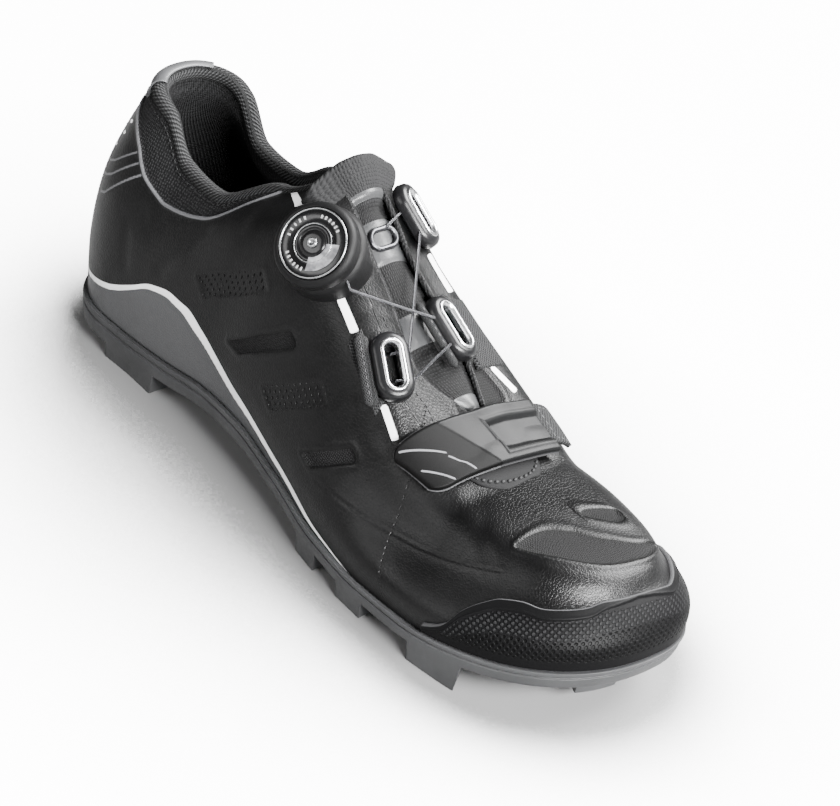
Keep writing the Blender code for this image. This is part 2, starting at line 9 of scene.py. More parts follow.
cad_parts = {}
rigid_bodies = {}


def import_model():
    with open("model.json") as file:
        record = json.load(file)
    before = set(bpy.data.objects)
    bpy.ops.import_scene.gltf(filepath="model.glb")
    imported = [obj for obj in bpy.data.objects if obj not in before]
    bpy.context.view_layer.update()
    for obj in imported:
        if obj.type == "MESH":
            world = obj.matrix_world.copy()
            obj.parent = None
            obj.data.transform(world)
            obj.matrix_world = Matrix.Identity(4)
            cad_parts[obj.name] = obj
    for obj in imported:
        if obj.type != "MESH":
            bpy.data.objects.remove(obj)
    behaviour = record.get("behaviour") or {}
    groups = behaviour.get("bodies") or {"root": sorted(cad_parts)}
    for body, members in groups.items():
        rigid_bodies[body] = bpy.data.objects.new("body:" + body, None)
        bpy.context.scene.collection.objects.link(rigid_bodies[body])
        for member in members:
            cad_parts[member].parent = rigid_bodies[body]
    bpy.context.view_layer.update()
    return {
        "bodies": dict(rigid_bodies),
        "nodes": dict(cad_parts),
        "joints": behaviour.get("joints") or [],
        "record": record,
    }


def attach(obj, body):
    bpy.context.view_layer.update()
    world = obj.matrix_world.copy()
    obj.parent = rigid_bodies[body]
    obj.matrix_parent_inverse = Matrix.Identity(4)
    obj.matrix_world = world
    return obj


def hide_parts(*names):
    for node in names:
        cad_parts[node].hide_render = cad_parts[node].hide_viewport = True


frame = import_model()

# Camera: a long lens from the outer front side, above the shoe and rolled, so that the toe points
# down to the right, aimed at a place over the shoe's middle.
HEEL = np.array([-0.1402814, 0.0020077, 0.0])         # the heel end of the form in the model's frame
AZIMUTH, ELEVATION, ROLL = np.radians((40.08, 33.25, 13.37))
DISTANCE, FOCAL_PIXELS, FRAME_WIDTH = 0.8984, 2545.6, 840
back = np.array([np.sin(AZIMUTH) * np.cos(ELEVATION), -np.cos(AZIMUTH) * np.cos(ELEVATION), np.sin(ELEVATION)])
level = np.array([np.cos(AZIMUTH), np.sin(AZIMUTH), 0])
above = np.cross(level, -back)
right = level * np.cos(ROLL) + above * np.sin(ROLL)
over = above * np.cos(ROLL) - level * np.sin(ROLL)
place = HEEL + (0.1484, 0, 0.05) + back * DISTANCE
camera_data = bpy.data.cameras.new("camera")
camera = bpy.data.objects.new("camera", camera_data)
bpy.context.collection.objects.link(camera)
camera.matrix_world = Matrix([[right[i], over[i], back[i], place[i]] for i in range(3)] + [[0, 0, 0, 1]])
camera_data.sensor_width = 36
camera_data.lens = FOCAL_PIXELS / FRAME_WIDTH * 36
camera_data.shift_x, camera_data.shift_y = 27.2 / FRAME_WIDTH, -20.1 / FRAME_WIDTH
camera_data.clip_start, camera_data.clip_end = 0.05, 20
bpy.context.scene.camera = camera

# Studio: a pale floor that glows a little, as a lit paper sweep does, its glow dimmed near the shoe as a painted
# shadow, a large soft light high on the inner side, a long one beyond the toe for the gloss along the ridges, and a
# weak outer fill.
floor_mesh = bpy.data.meshes.new("floor")
floor_mesh.from_pydata([(x, y, 0) for x, y in ((-4, -4), (4, -4), (4, 4), (-4, 4))], [], [(0, 1, 2, 3)])
floor = bpy.data.objects.new("floor", floor_mesh)
bpy.context.collection.objects.link(floor)
floor_paper = bpy.data.materials.new("floor paper")
floor_paper.use_nodes = True
paper = floor_paper.node_tree
for socket, value in (("Base Color", (.16, .16, .16, 1)), ("Roughness", .9), ("Emission Color", (1, 1, 1, 1)),
                      ("Emission Strength", .40)):
    paper.nodes["Principled BSDF"].inputs[socket].default_value = value
seen = paper.nodes.new("ShaderNodeLightPath")
painted_shadow_near_shoe = paper.nodes.new("ShaderNodeAmbientOcclusion")      # a painted shadow: the sweep's glow dims close to the shoe
painted_shadow_near_shoe.inputs["Distance"].default_value = 0.16
# The glow the camera sees falls off with the occlusion near the shoe: a painted shadow, not one cast by the lamps.
shade = paper.nodes.new("ShaderNodeMapRange")
for socket, value in (("From Min", .12), ("From Max", .86), ("To Min", .0), ("To Max", 13.0)):
    shade.inputs[socket].default_value = value
painted_shadow_falloff = paper.nodes.new("ShaderNodeMath")
painted_shadow_falloff.operation = "POWER"
painted_shadow_falloff.inputs[1].default_value = 5.0
paper.links.new(painted_shadow_near_shoe.outputs["AO"], painted_shadow_falloff.inputs[0])
paper.links.new(painted_shadow_falloff.outputs[0], shade.inputs["Value"])
glow = paper.nodes.new("ShaderNodeMapRange")       # the sweep looks burnt out, and yet throws little light back
glow.inputs["To Min"].default_value = 0.22
paper.links.new(seen.outputs["Is Camera Ray"], glow.inputs["Value"])
paper.links.new(shade.outputs[0], glow.inputs["To Max"])
paper.links.new(glow.outputs[0], paper.nodes["Principled BSDF"].inputs["Emission Strength"])
fibre = paper.nodes.new("ShaderNodeTexNoise")
fibre.inputs["Scale"].default_value = 900
raised = paper.nodes.new("ShaderNodeBump")
raised.inputs["Distance"].default_value = 0.0001
raised.inputs["Strength"].default_value = 0.2
paper.links.new(fibre.outputs["Fac"], raised.inputs["Height"])
paper.links.new(raised.outputs["Normal"], paper.nodes["Principled BSDF"].inputs["Normal"])
floor_mesh.materials.append(floor_paper)
LIGHTS = (    # where it stands, where it points, its two sides in metres, its power in watts
    ("key", (0.25, 0.95, 1.15), (0.0, 0.0, 0.04), 1.0, 0.7, 150),
    ("toe gloss", (1.05, -0.15, 0.75), (0.06, 0.0, 0.03), 0.8, 0.3, 115),
    ("outer fill", (-0.3, -1.3, 0.8), (0.0, 0.0, 0.04), 1.4, 0.5, 16),
)
for name, stand, aim, wide, tall, power in LIGHTS:
    lamp = bpy.data.lights.new(name, "AREA")
    lamp.shape, lamp.size, lamp.size_y, lamp.energy = "RECTANGLE", wide, tall, power
    lamp_object = bpy.data.objects.new(name, lamp)
    bpy.context.collection.objects.link(lamp_object)
    toward = np.subtract(stand, aim) / np.linalg.norm(np.subtract(stand, aim))
    across = np.cross((0, 0, 1), toward)
    across /= np.linalg.norm(across)
    rise = np.cross(toward, across)
    lamp_object.matrix_world = Matrix([[across[i], rise[i], toward[i], stand[i]] for i in range(3)] + [[0, 0, 0, 1]])
surround = bpy.data.worlds.new("surround")
surround.use_nodes = True
surround.node_tree.nodes["Background"].inputs["Color"].default_value = (1, 1, 1, 1)
surround.node_tree.nodes["Background"].inputs["Strength"].default_value = 0.16
bpy.context.scene.world = surround


# The upper: coated microfibre cut in panels, moulded over a last and glued under the insole. Its
# face carries a white printed line over a grey satin panel, two pierced and two mesh windows in
# each side, and a band of knit above a thin piping round the collar, which foam fills.
LENGTH, BALL_WIDTH, COLLAR_HEIGHT, INSTEP_HEIGHT, SOLE_STACK = 0.283, 0.100, 0.087, 0.086, 0.022
HEEL_PIVOT, TOE_PIVOT, HEEL_ROUND, TOE_ROUND, HEEL_TURN, TOE_TURN = 0.115, 0.76, 2.25, 2.3, 0.14, 0.72
WALL, COLLAR_PAD, SEAT, GAP = 0.0022, 0.0055, 0.0006, 0.0003
FORM_COLUMNS = ("along lateral medial ridge feather collar instep rim_lat rim_med "
                "bulge_out bulge_up mid_out mid_up shoulder_out shoulder_up").split()
FORM = np.array([
    [0.00, .333, .333, .000, 0.74, 1.03, .000, .62, .62, 1.06, .30, 1.01, .58, .83, .82],
    [.115, .333, .333, .000, 0.74, 0.98, .000, .62, .58, 1.06, .28, 1.00, .55, .80, .80],
    [0.17, .335, .323, .000, 0.76, 0.82, .000, .66, .56, 1.06, .28, 1.02, .55, .86, .80],
    [0.24, .337, .295, .010, 0.84, 0.79, .000, .70, .58, 1.06, .30, 1.03, .58, .90, .82],
    [0.32, .345, .272, .017, 1.00, 0.91, .000, .46, .46, 1.06, .28, 1.00, .56, .86, .84],
    [0.40, .375, .265, .028, 1.06, 0.00, 1.05, .34, .17, 1.06, .22, 0.98, .50, .76, .85],
    [0.50, .415, .285, .036, 0.86, 0.00, 0.88, .34, .08, 1.05, .22, 0.96, .52, .73, .88],
    [0.60, .475, .355, .041, 0.68, 0.00, 0.71, .40, .12, 1.02, .24, 0.88, .54, .67, .90],
    [0.70, .505, .470, .045, 0.63, 0.00, 0.50, .00, .00, 1.01, .25, 0.82, .54, .58, .91],
    [0.76, .505, .448, .045, 0.65, 0.00, .435, .00, .00, 1.01, .26, 0.81, .55, .56, .92],
    [0.88, .420, .392, .045, 0.86, 0.00, .435, .00, .00, 1.00, .28, 0.81, .58, .57, .93],
    [1.00, .000, .000, .045, 1.15, 0.00, .435, .00, .00, 0.98, .34, 0.84, .66, .65, .95],
])
PROFILE_STEPS = np.array([0, .22, .46, .72, 1.0])


def hermite(y0, m0, y1, m1, width, x):
    u = x / width
    return ((2 * u**3 - 3 * u**2 + 1) * y0 + (u**3 - 2 * u**2 + u) * width * m0
            + (3 * u**2 - 2 * u**3) * y1 + (u**3 - u**2) * width * m1)


def smooth(xs, ys, x):
    """A monotone cubic through the points."""
    xs, ys = np.asarray(xs, float), np.asarray(ys, float)
    slope = np.diff(ys) / np.diff(xs)
    tangent = np.concatenate([slope[:1], np.zeros(len(xs) - 2), slope[-1:]])
    for i in range(1, len(xs) - 1):
        if slope[i - 1] * slope[i] > 0:
            h0, h1 = xs[i] - xs[i - 1], xs[i + 1] - xs[i]
            tangent[i] = 3 * (h0 + h1) / ((2 * h1 + h0) / slope[i - 1] + (h1 + 2 * h0) / slope[i])
    x = np.clip(x, xs[0], xs[-1])
    k = np.clip(np.searchsorted(xs, x, side="right") - 1, 0, len(xs) - 2)
    return hermite(ys[k], tangent[k], ys[k + 1], tangent[k + 1], xs[k + 1] - xs[k], x - xs[k])


def share(name, along):
    return smooth(FORM[:, 0], FORM[:, FORM_COLUMNS.index(name)], along)


def station(u):
    """For a way round the shoe, 0 heel, 1 toe, 2 heel again: a place on the ridge line, the reach
    from there to the sole's edge, and the side, -1 outer and 1 inner."""
    v = np.mod(u, 2)
    side = np.where(v <= 1, -1.0, 1.0)
    w = np.where(v <= 1, v, 2 - v)
    pivot = np.clip(HEEL_PIVOT + (TOE_PIVOT - HEEL_PIVOT) * (w - HEEL_TURN) / (TOE_TURN - HEEL_TURN),
                    HEEL_PIVOT, TOE_PIVOT)
    heel, toe = w < HEEL_TURN, w > TOE_TURN
    turn = np.pi / 2 * np.where(heel, w / HEEL_TURN, np.where(toe, (1 - w) / (1 - TOE_TURN), 1))
    power = np.where(heel, 2 / HEEL_ROUND, np.where(toe, 2 / TOE_ROUND, 1))
    forth = np.where(heel, -HEEL_PIVOT, np.where(toe, 1 - TOE_PIVOT, 0)) * LENGTH
    ridge = share("ridge", pivot) * BALL_WIDTH
    half = side * np.where(side < 0, share("lateral", pivot), share("medial", pivot)) * BALL_WIDTH - ridge
    reach = np.stack([forth * np.abs(np.cos(turn)) ** power, half * np.abs(np.sin(turn)) ** power], -1)
    return np.stack([pivot * LENGTH, ridge], -1), reach, side


def profile(values, t, flat_end):
    k, v = PROFILE_STEPS, np.stack(values)
    slope = np.stack([(v[i + 1] - v[i]) / (k[i + 1] - k[i]) for i in range(4)])
    last = np.where(flat_end, 0.0, slope[3])
    tangent = np.stack([slope[0]] + [(v[i + 1] - v[i - 1]) / (k[i + 1] - k[i - 1]) for i in (1, 2, 3)] + [last])
    i = np.clip(np.searchsorted(k, t, side="right") - 1, 0, 3)
    pick = lambda a, j: np.take_along_axis(a, j[None], 0)[0]
    return hermite(pick(v, i), pick(tangent, i), pick(v, i + 1), pick(tangent, i + 1), k[i + 1] - k[i], t - k[i])


def skin(u, t):
    """Places on the upper's outer face. t runs from 0 at the sole's edge to 1 at the rim."""
    u, t = np.broadcast_arrays(np.asarray(u, float), np.asarray(t, float))
    spine, reach, side = station(u)
    along = (spine + reach)[..., 0] / LENGTH
    foot = share("feather", along) * SOLE_STACK
    rise = share("collar", along) * COLLAR_HEIGHT + share("instep", along) * INSTEP_HEIGHT
    top = share("feather", TOE_PIVOT) * SOLE_STACK + share("instep", TOE_PIVOT) * INSTEP_HEIGHT
    rise = np.where(along > TOE_PIVOT, top - foot, rise)
    rim = np.where(side < 0, share("rim_lat", along), share("rim_med", along))
    outs = [np.ones_like(rim)] + [share(c + "_out", along) for c in ("bulge", "mid", "shoulder")] + [rim]
    ups = [np.zeros_like(rim)] + [share(c + "_up", along) for c in ("bulge", "mid", "shoulder")] + [np.ones_like(rim)]
    never = np.zeros_like(rim, bool)
    out, up = profile(outs, t, never), profile(ups, t, rim < 1e-6)
    flat = spine + reach * out[..., None]
    return np.stack([flat[..., 0], flat[..., 1], foot + up * rise], -1) + HEEL


def unit(v):
    return v / (np.linalg.norm(v, axis=-1, keepdims=True) + 1e-12)


def outward(u, t, step=2e-3):
    u, t = np.broadcast_arrays(np.asarray(u, float), np.minimum(np.asarray(t, float), .992))
    return unit(np.cross(skin(u + step, t) - skin(u - step, t), skin(u, t + step) - skin(u, t - step)))


def wall(u, t):
    """Thickness: the foam swells it below the topline."""
    spine, reach, side = station(u)
    along = (spine + reach)[..., 0] / LENGTH
    pad = 1 - smooth([0, .31, .40, 1], [0, 0, 1, 1], along)
    return WALL + COLLAR_PAD * pad * smooth([0, .45, .70, .88, .96, 1.0], [0, 0, .75, 1, .80, .45], t)


def piece(name, points, faces, material, body="root"):
    """A smooth-shaded mesh object that rides on the shoe."""
    mesh = bpy.data.meshes.new(name)
    mesh.from_pydata(np.asarray(points).reshape(-1, 3).tolist(), [], faces)
    made = bpy.data.objects.new(name, mesh)
    bpy.context.collection.objects.link(made)
    mesh.materials.append(material)
    mesh.shade_smooth()
    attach(made, body)
    return made


def grid_faces(rows, columns, wrap_rows=False, wrap_columns=False):
    i, j = np.meshgrid(np.arange(rows if wrap_rows else rows - 1),
                       np.arange(columns if wrap_columns else columns - 1), indexing="ij")
    i1, j1 = (i + 1) % rows, (j + 1) % columns
    quads = np.stack([i * columns + j, i1 * columns + j, i1 * columns + j1, i * columns + j1], -1)
    return quads.reshape(-1, 4).tolist()


def merge(made, distance=1e-6):
    """Equal points become one, and the faces all look outwards."""
    work = bmesh.new()
    work.from_mesh(made.data)
    bmesh.ops.remove_doubles(work, verts=work.verts, dist=distance)
    bmesh.ops.recalc_face_normals(work, faces=work.faces)
    work.to_mesh(made.data)
    work.free()


UPPER_COLUMNS, FACE_ROWS, ROLL_ROWS, LINING_ROWS = 660, 112, 7, 14
ways = np.linspace(0, 2, UPPER_COLUMNS, endpoint=False)
ways = np.interp(ways, [0, 1.36, 1.76, 2], [0, 1.30, 1.84, 2])[:, None]     # closer together where the detail is
heights = np.linspace(0, 1, FACE_ROWS)[None, :]
face, face_normal = skin(ways, heights), outward(ways, heights)

# Lines and panels on the upper, each as a way round and a height.
PIPING = [(-.34, 1.1), (-.33, .97), (-.305, .80), (-.264, .82), (-.234, .784), (-.182, .717), (-.148, .655), (-.123, .733),
          (-.082, .817), (-.05, .85), (0, .86), (.05, .85), (.082, .817), (.123, .733), (.148, .655), (.182, .717),
          (.234, .786), (.264, .835), (.295, .87), (.315, .92), (.328, 1.0), (.334, 1.1)]
STRIPE_TOP = [(.07, .085), (.10, .10), (.125, .122), (.150, .165), (.214, .326), (.243, .340), (.276, .310), (.312, .231),
              (.36, .165), (.428, .106), (.526, .074), (.578, .034), (.617, .017), (.645, 0), (.66, -.02)]
STRIPE_LOW = [(0.07, 0.066), (0.1, 0.08), (0.125, 0.1), (0.15, 0.141), (0.214, 0.298), (0.237, 0.306), (0.265, 0.284), (0.3, 0.207),
              (0.36, 0.12), (0.41, 0.073), (0.5, 0.037), (0.57, 0.014), (0.617, 0.003), (0.645, -0.01), (0.66, -0.026)]
PIERCED = [[(.281, .475), (.314, .500), (.346, .550), (.378, .575), (.384, .560), (.391, .545),
            (.397, .530), (.366, .485), (.334, .430), (.303, .365), (.296, .400), (.289, .435)],
           [(.435, .285), (.463, .380), (.488, .465), (.512, .540), (.518, .530), (.525, .520),
            (.531, .510), (.510, .435), (.486, .355), (.459, .255), (.451, .265), (.443, .275)]]
NETTED = [[(.359, .290), (.368, .290), (.378, .290), (.387, .290), (.414, .355), (.440, .435),
            (.461, .505), (.462, .515), (.461, .520), (.460, .525), (.456, .525), (.451, .525),
            (.447, .525), (.421, .445), (.392, .370)],
           [(.524, .290), (.531, .285), (.538, .285), (.545, .285), (.562, .345), (.577, .405),
            (.592, .465), (.592, .470), (.592, .480), (.592, .485), (.588, .490), (.584, .495),
            (.580, .495), (.563, .430), (.545, .365)]]
DASHES = [[(.334, 1.01), (.341, 1.01), (.379, .851), (.371, .842)], [(.477, .741), (.481, .778), (.519, .768), (.514, .725)],
          [(.584, .680), (.589, .713), (.619, .681), (.615, .648)], [(1.525, .854), (1.530, .79), (1.487, .795), (1.483, .86)],
          [(1.402, .898), (1.404, .865), (1.377, .787), (1.374, .825)]]
TOE_NET = [[(.809, .696), (.820, .74), (.836, .776), (.858, .805), (.884, .823), (.915, .828), (.944, .826), (.975, .805),
            (1.005, .774), (1.045, .725), (1.082, .667), (1.093, .613), (1.06, .64), (1.021, .67), (.981, .692),
            (.926, .715), (.89, .72), (.864, .714), (.835, .70)],
           [(1.000, .868), (1.03, .874), (1.065, .862), (1.10, .835), (1.123, .80), (1.131, .776), (1.112, .762), (1.08, .785),
            (1.05, .82), (1.02, .848)]]
MOUTH = [[(1.416, 1.06), (1.408, .97), (1.394, .92), (1.376, .89), (1.366, .915), (1.358, 1.06)],
         [(.642, 1.06), (.635, .96), (.624, .985), (.610, 1.06)]]
CHEVRONS = [[(.074, .526), (.085, .54), (.097, .575), (.126, .705)], [(.082, .473), (.092, .49), (.103, .523), (.134, .673)],
            [(.092, .411), (.104, .439), (.143, .646)]]


def true_distance(field):
    """A field over the face, zero on its line, brought to metres across the surface."""
    fi, fj = np.gradient(field)
    pi, pj = np.gradient(face, axis=0), np.gradient(face, axis=1)
    a, b, c = (pi * pi).sum(-1), (pi * pj).sum(-1), (pj * pj).sum(-1)
    slope = (fi * fi * c - 2 * fi * fj * b + fj * fj * a) / np.maximum(a * c - b * b, 1e-16)
    return field / np.sqrt(np.maximum(slope, 1e-4))


def over_line(line, far=0.02, both_sides=False):
    """Distance above a line given as heights by way round, for ways within its ends."""
    line = np.array(line)
    w = np.where(ways > 1.0, 2 - ways, ways) if both_sides else np.where(ways > 1.5, ways - 2, ways)
    height = smooth(line[:, 0], line[:, 1], w)
    found = np.clip(true_distance(heights - height), -far, far)
    return np.where((w > line[0, 0]) & (w < line[-1, 0]), found, -far)


ACROSS, UPWARD = 0.40, 0.085       # rough lengths of one unit of way and of height, for the polygons


def inside(outline):
    """Distance inside a closed outline, negative outside."""
    outline = np.array(outline) * (ACROSS, UPWARD)
    at = np.stack(np.broadcast_arrays(np.where(ways > 1.7, ways - 2, ways) * ACROSS, heights * UPWARD), -1)
    nearest = np.full(at.shape[:2], 1e9)
    within = np.zeros(at.shape[:2], bool)
    for p, q in zip(outline, np.roll(outline, -1, 0)):
        d = q - p
        k = np.clip(((at - p) @ d) / (d @ d), 0, 1)
        nearest = np.minimum(nearest, np.linalg.norm(at - p - k[..., None] * d, axis=-1))
        crosses = (p[1] > at[..., 1]) != (q[1] > at[..., 1])
        within ^= crosses & (at[..., 0] < p[0] + (at[..., 1] - p[1]) * d[0] / (d[1] if abs(d[1]) > 1e-12 else 1e-12))
    return np.clip(np.where(within, nearest, -nearest), -.02, .02)


def rounded(outline, steps=6):
    """A closed outline with its corners drawn as curves through its points."""
    p = np.array(outline)
    k = np.arange(steps)[:, None, None] / steps
    a, b, c, d = np.roll(p, 1, 0), p, np.roll(p, -1, 0), np.roll(p, -2, 0)
    curve = b + .5 * k * (c - a) + k**2 * (a - 2.5 * b + 2 * c - .5 * d) + k**3 * (-.5 * a + 1.5 * b - 1.5 * c + .5 * d)
    return np.swapaxes(curve, 0, 1).reshape(-1, 2).tolist()


def near_line(line):
    """Distance from an open line."""
    line = np.array(line) * (ACROSS, UPWARD)
    at = np.stack(np.broadcast_arrays(np.where(ways > 1.7, ways - 2, ways) * ACROSS, heights * UPWARD), -1)
    nearest = np.full(at.shape[:2], 1e9)
    for p, q in zip(line[:-1], line[1:]):
        d = q - p
        k = np.clip(((at - p) @ d) / (d @ d), 0, 1)
        nearest = np.minimum(nearest, np.linalg.norm(at - p - k[..., None] * d, axis=-1))
    return nearest


def mirrored(line):
    return [(2 - u, t) for u, t in line][::-1]


def ramp(value, low, high):
    k = np.clip((value - low) / (high - low), 0, 1)
    return k * k * (3 - 2 * k)


knit = over_line(PIPING)
stripe = np.minimum(-over_line(STRIPE_TOP, both_sides=True), over_line(STRIPE_LOW, both_sides=True))
satin = -over_line(STRIPE_LOW, both_sides=True)
w_here = np.minimum(ways, 2 - ways)
on_side = (w_here > .085) & (w_here < .65)
stripe, satin = np.where(on_side, stripe, -.02), np.where(on_side, satin, -.02)
pierced = np.max([inside(o) for o in PIERCED + [mirrored(o) for o in PIERCED]], 0)
netted = np.max([inside(o) for o in NETTED + [mirrored(o) for o in NETTED]], 0)
toe_net = np.max([inside(rounded(o)) for o in TOE_NET + MOUTH], 0)
dashes = np.max([inside(o) for o in DASHES], 0)
chevrons = np.min([near_line(o) for o in CHEVRONS + [[(-u, t) for u, t in o] for o in CHEVRONS]], 0)

def at_height(low, high, soft=.0007):
    """A smooth step across the surface between two distances."""
    return ramp(low, 0, soft) * ramp(high, 0, soft)


windows = np.maximum(netted, toe_net)
soft = np.where(toe_net > netted, 1.25, 1.0)
crease = near_line([(.56, .27), (.60, .315), (.68, .43), (.753, .519), (.80, .56)])
flex = [(near_line([(.60, .62), (.66, .66), (.71, .70)]), .0030, .0003), (near_line([(.70, .80), (.74, .74), (.775, .60)]), .0040, .0003),
        (near_line([(.22, .42), (.25, .60), (.27, .72)]), .0040, .0004), (near_line([(.16, .30), (.15, .44), (.165, .56)]), .0040, .0004)]
quarter_edge = near_line([(.61, .88), (.625, .80), (.64, .72), (.655, .60), (.67, .40), (.69, .20), (.70, .06)])
stay_edge = near_line([(.42, .93), (.47, .90), (.53, .88), (.60, .80), (.66, .77)])
lift = 0.00045 * np.exp(-(knit / .0007) ** 2) - 0.0006 * ramp(knit, .0004, .0014)
lift += -0.0009 * ramp(windows, -.0001, .0010 * soft) + 0.00035 * np.exp(-((windows + .0010 * soft) / (.0008 * soft)) ** 2)
lift += -0.0003 * ramp(pierced, 0, .0008) + 0.0002 * np.exp(-((pierced + .0008) / .0006) ** 2)
lift += 0.00022 * np.exp(-(chevrons / .0005) ** 2) - 0.00025 * ramp(satin, 0, .0006)
lift += -0.0004 * np.exp(-(crease / .0005) ** 2) + 0.0002 * np.exp(-(crease / .0018) ** 2)
for line, wide, deep in flex:
    lift += -deep * np.exp(-(line / wide) ** 2)
outer_rows = face + face_normal * lift[..., None]

rim_u = ways[:, 0]
rim_edge, rim_normal = outer_rows[:, -1], face_normal[:, -1]
rim_inner = rim_edge - rim_normal * wall(rim_u, np.ones_like(rim_u))[:, None]
rim_up = unit(face[:, -1] - face[:, -4])
rim_centre, rim_radius = (rim_edge + rim_inner) / 2, np.linalg.norm(rim_edge - rim_inner, axis=-1)[:, None] / 2
closed = (share("rim_lat", (station(rim_u)[0] + station(rim_u)[1])[:, 0] / LENGTH) < 1e-6)[:, None]
roll = [np.where(closed, rim_edge + (rim_inner - rim_edge) * k,
                 rim_centre + rim_radius * (rim_normal * np.cos(np.pi * k) + rim_up * np.sin(np.pi * k)))
        for k in np.linspace(0, 1, ROLL_ROWS + 2)[1:-1]]
down = np.linspace(1, 0, LINING_ROWS)[None, :]
lining = skin(ways, down) - outward(ways, down) * wall(ways, np.broadcast_to(down, (UPPER_COLUMNS, LINING_ROWS)))[..., None]
rows = np.concatenate([outer_rows, np.stack(roll, 1), lining], 1)
columns = rows.shape[1]
upper_across = np.concatenate([[0], np.cumsum(np.linalg.norm(np.diff(face[:, FACE_ROWS // 2], axis=0), axis=1))])
upper_down = np.concatenate([np.zeros((UPPER_COLUMNS, 1)), np.cumsum(np.linalg.norm(np.diff(rows, axis=1), axis=2), axis=1)], 1)


def full_rows(field, on_roll, on_lining):
    """A field of the face carried on over the roll and the lining."""
    return np.concatenate([field, np.full((UPPER_COLUMNS, ROLL_ROWS), on_roll), np.full((UPPER_COLUMNS, LINING_ROWS), on_lining)], 1)


class Net:
    """A material's node tree, with short words for its nodes."""
    def __init__(self, name, roughness=0.5, metallic=0.0, coat=0.0, coat_roughness=0.2, sheen=0.0, specular=0.5,
                 colour=(.02, .02, .02)):
        self.material = bpy.data.materials.new(name)
        self.material.use_nodes = True
        self.tree = self.material.node_tree
        self.shader = self.tree.nodes["Principled BSDF"]
        for socket, value in (("Roughness", roughness), ("Metallic", metallic), ("Coat Weight", coat), ("Base Color", (*colour, 1)),
                              ("Coat Roughness", coat_roughness), ("Sheen Weight", sheen), ("Specular IOR Level", specular)):
            self.shader.inputs[socket].default_value = value

    def join(self, value, socket):
        if isinstance(value, bpy.types.NodeSocket):
            self.tree.links.new(value, socket)
        else:
            socket.default_value = (*value, 1) if isinstance(value, tuple) and len(value) == 3 and len(socket.default_value) == 4 else value

    def node(self, kind, out=0, settings=(), **inputs):
        made = self.tree.nodes.new("ShaderNode" + kind)
        for key, value in settings:
            setattr(made, key, value)
        for key, value in inputs.items():
            self.join(value, made.inputs[int(key[1:])] if key[0] == "_" else made.inputs[key.replace("_", " ")])
        return made.outputs[out]

    def math(self, operation, a, b=0.0):
        return self.node("Math", settings=[("operation", operation)], _0=a, _1=b)

    def field(self, name):
        return self.node("Attribute", 2, [("attribute_name", name)])

    def place(self):
        return self.node("TexCoord", 3)

    def lay(self, *names):
        """Places in metres across the surface, from two fields."""
        return self.node("CombineXYZ", X=self.field(names[0]), Y=self.field(names[1]))

    def step(self, value, low, high, start=0.0, end=1.0):
        return self.node("MapRange", 0, [("interpolation_type", "SMOOTHSTEP")], _0=value, _1=low, _2=high, _3=start, _4=end)

    def span(self, value, start, end, low=0.0, high=1.0):
        return self.node("MapRange", 0, [], _0=value, _1=low, _2=high, _3=start, _4=end)

    def mix(self, factor, first, second):
        return self.node("Mix", 2, [("data_type", "RGBA")], _0=factor, _6=first, _7=second)

    def blend(self, factor, first, second):
        return self.node("Mix", 0, [], _0=factor, _2=first, _3=second)

    def effect(self, tree, out="Height", **inputs):
        made = self.tree.nodes.new("ShaderNodeGroup")
        made.node_tree = tree
        for key, value in inputs.items():
            self.join(value, made.inputs[key])
        return made.outputs[out]

    def bump(self, height, distance, strength=1.0, normal=None):
        inputs = {"Height": height, "Distance": distance, "Strength": strength}
        if normal is not None:
            inputs["Normal"] = normal
        return self.node("Bump", 0, [], **inputs)

    def put(self, **sockets):
        for key, value in sockets.items():
            self.join(value, self.shader.inputs[key.replace("_", " ")])


class Effect(Net):
    """A node group with named inputs and outputs, for effects that several materials share."""
    def __init__(self, name, inputs, outputs=("Height",)):
        self.tree = bpy.data.node_groups.new(name, "ShaderNodeTree")
        for title, kind, value in inputs:
            socket = self.tree.interface.new_socket(title, in_out="INPUT", socket_type="NodeSocket" + kind)
            if value is not None:
                socket.default_value = value
        for title in outputs:
            self.tree.interface.new_socket(title, in_out="OUTPUT", socket_type="NodeSocketFloat")
        self.given = self.tree.nodes.new("NodeGroupInput").outputs
        self.result = self.tree.nodes.new("NodeGroupOutput").inputs


grain_effect = Effect("hide grain", [("Place", "Vector", None), ("Scale", "Float", 1.0)], ("Height", "Shade"))
g = grain_effect
fine = g.node("TexVoronoi", 0, [("feature", "DISTANCE_TO_EDGE")], Vector=g.given["Place"], Scale=g.math("MULTIPLY", g.given["Scale"], 900.0))
fine = g.step(fine, 0.0, .18)
coarse = g.node("TexNoise", 0, [], Vector=g.given["Place"], Scale=g.math("MULTIPLY", g.given["Scale"], 260.0), Detail=5.0)
g.join(g.math("ADD", g.math("MULTIPLY", fine, .45), g.math("MULTIPLY", coarse, .8)), g.result["Height"])
g.join(g.node("TexNoise", 0, [], Vector=g.given["Place"], Scale=g.math("MULTIPLY", g.given["Scale"], 30.0), Detail=6.0), g.result["Shade"])

rib_effect = Effect("knitted ribs", [("Place", "Vector", None), ("Pitch", "Float", .0014), ("Slant", "Float", .4)])
g = rib_effect
parts = g.node("SeparateXYZ", 0, [], Vector=g.given["Place"])
parts_node = parts.node
run = g.math("ADD", parts_node.outputs[0], g.math("MULTIPLY", parts_node.outputs[1], g.given["Slant"]))
wave = g.math("SINE", g.math("DIVIDE", g.math("MULTIPLY", run, 6.2832), g.given["Pitch"]))
across_wave = g.math("SINE", g.math("DIVIDE", g.math("MULTIPLY", parts_node.outputs[1], 6.2832), g.math("MULTIPLY", g.given["Pitch"], .7)))
g.join(g.math("ADD", g.math("MULTIPLY", wave, .5), g.math("MULTIPLY", across_wave, .16)), g.result["Height"])

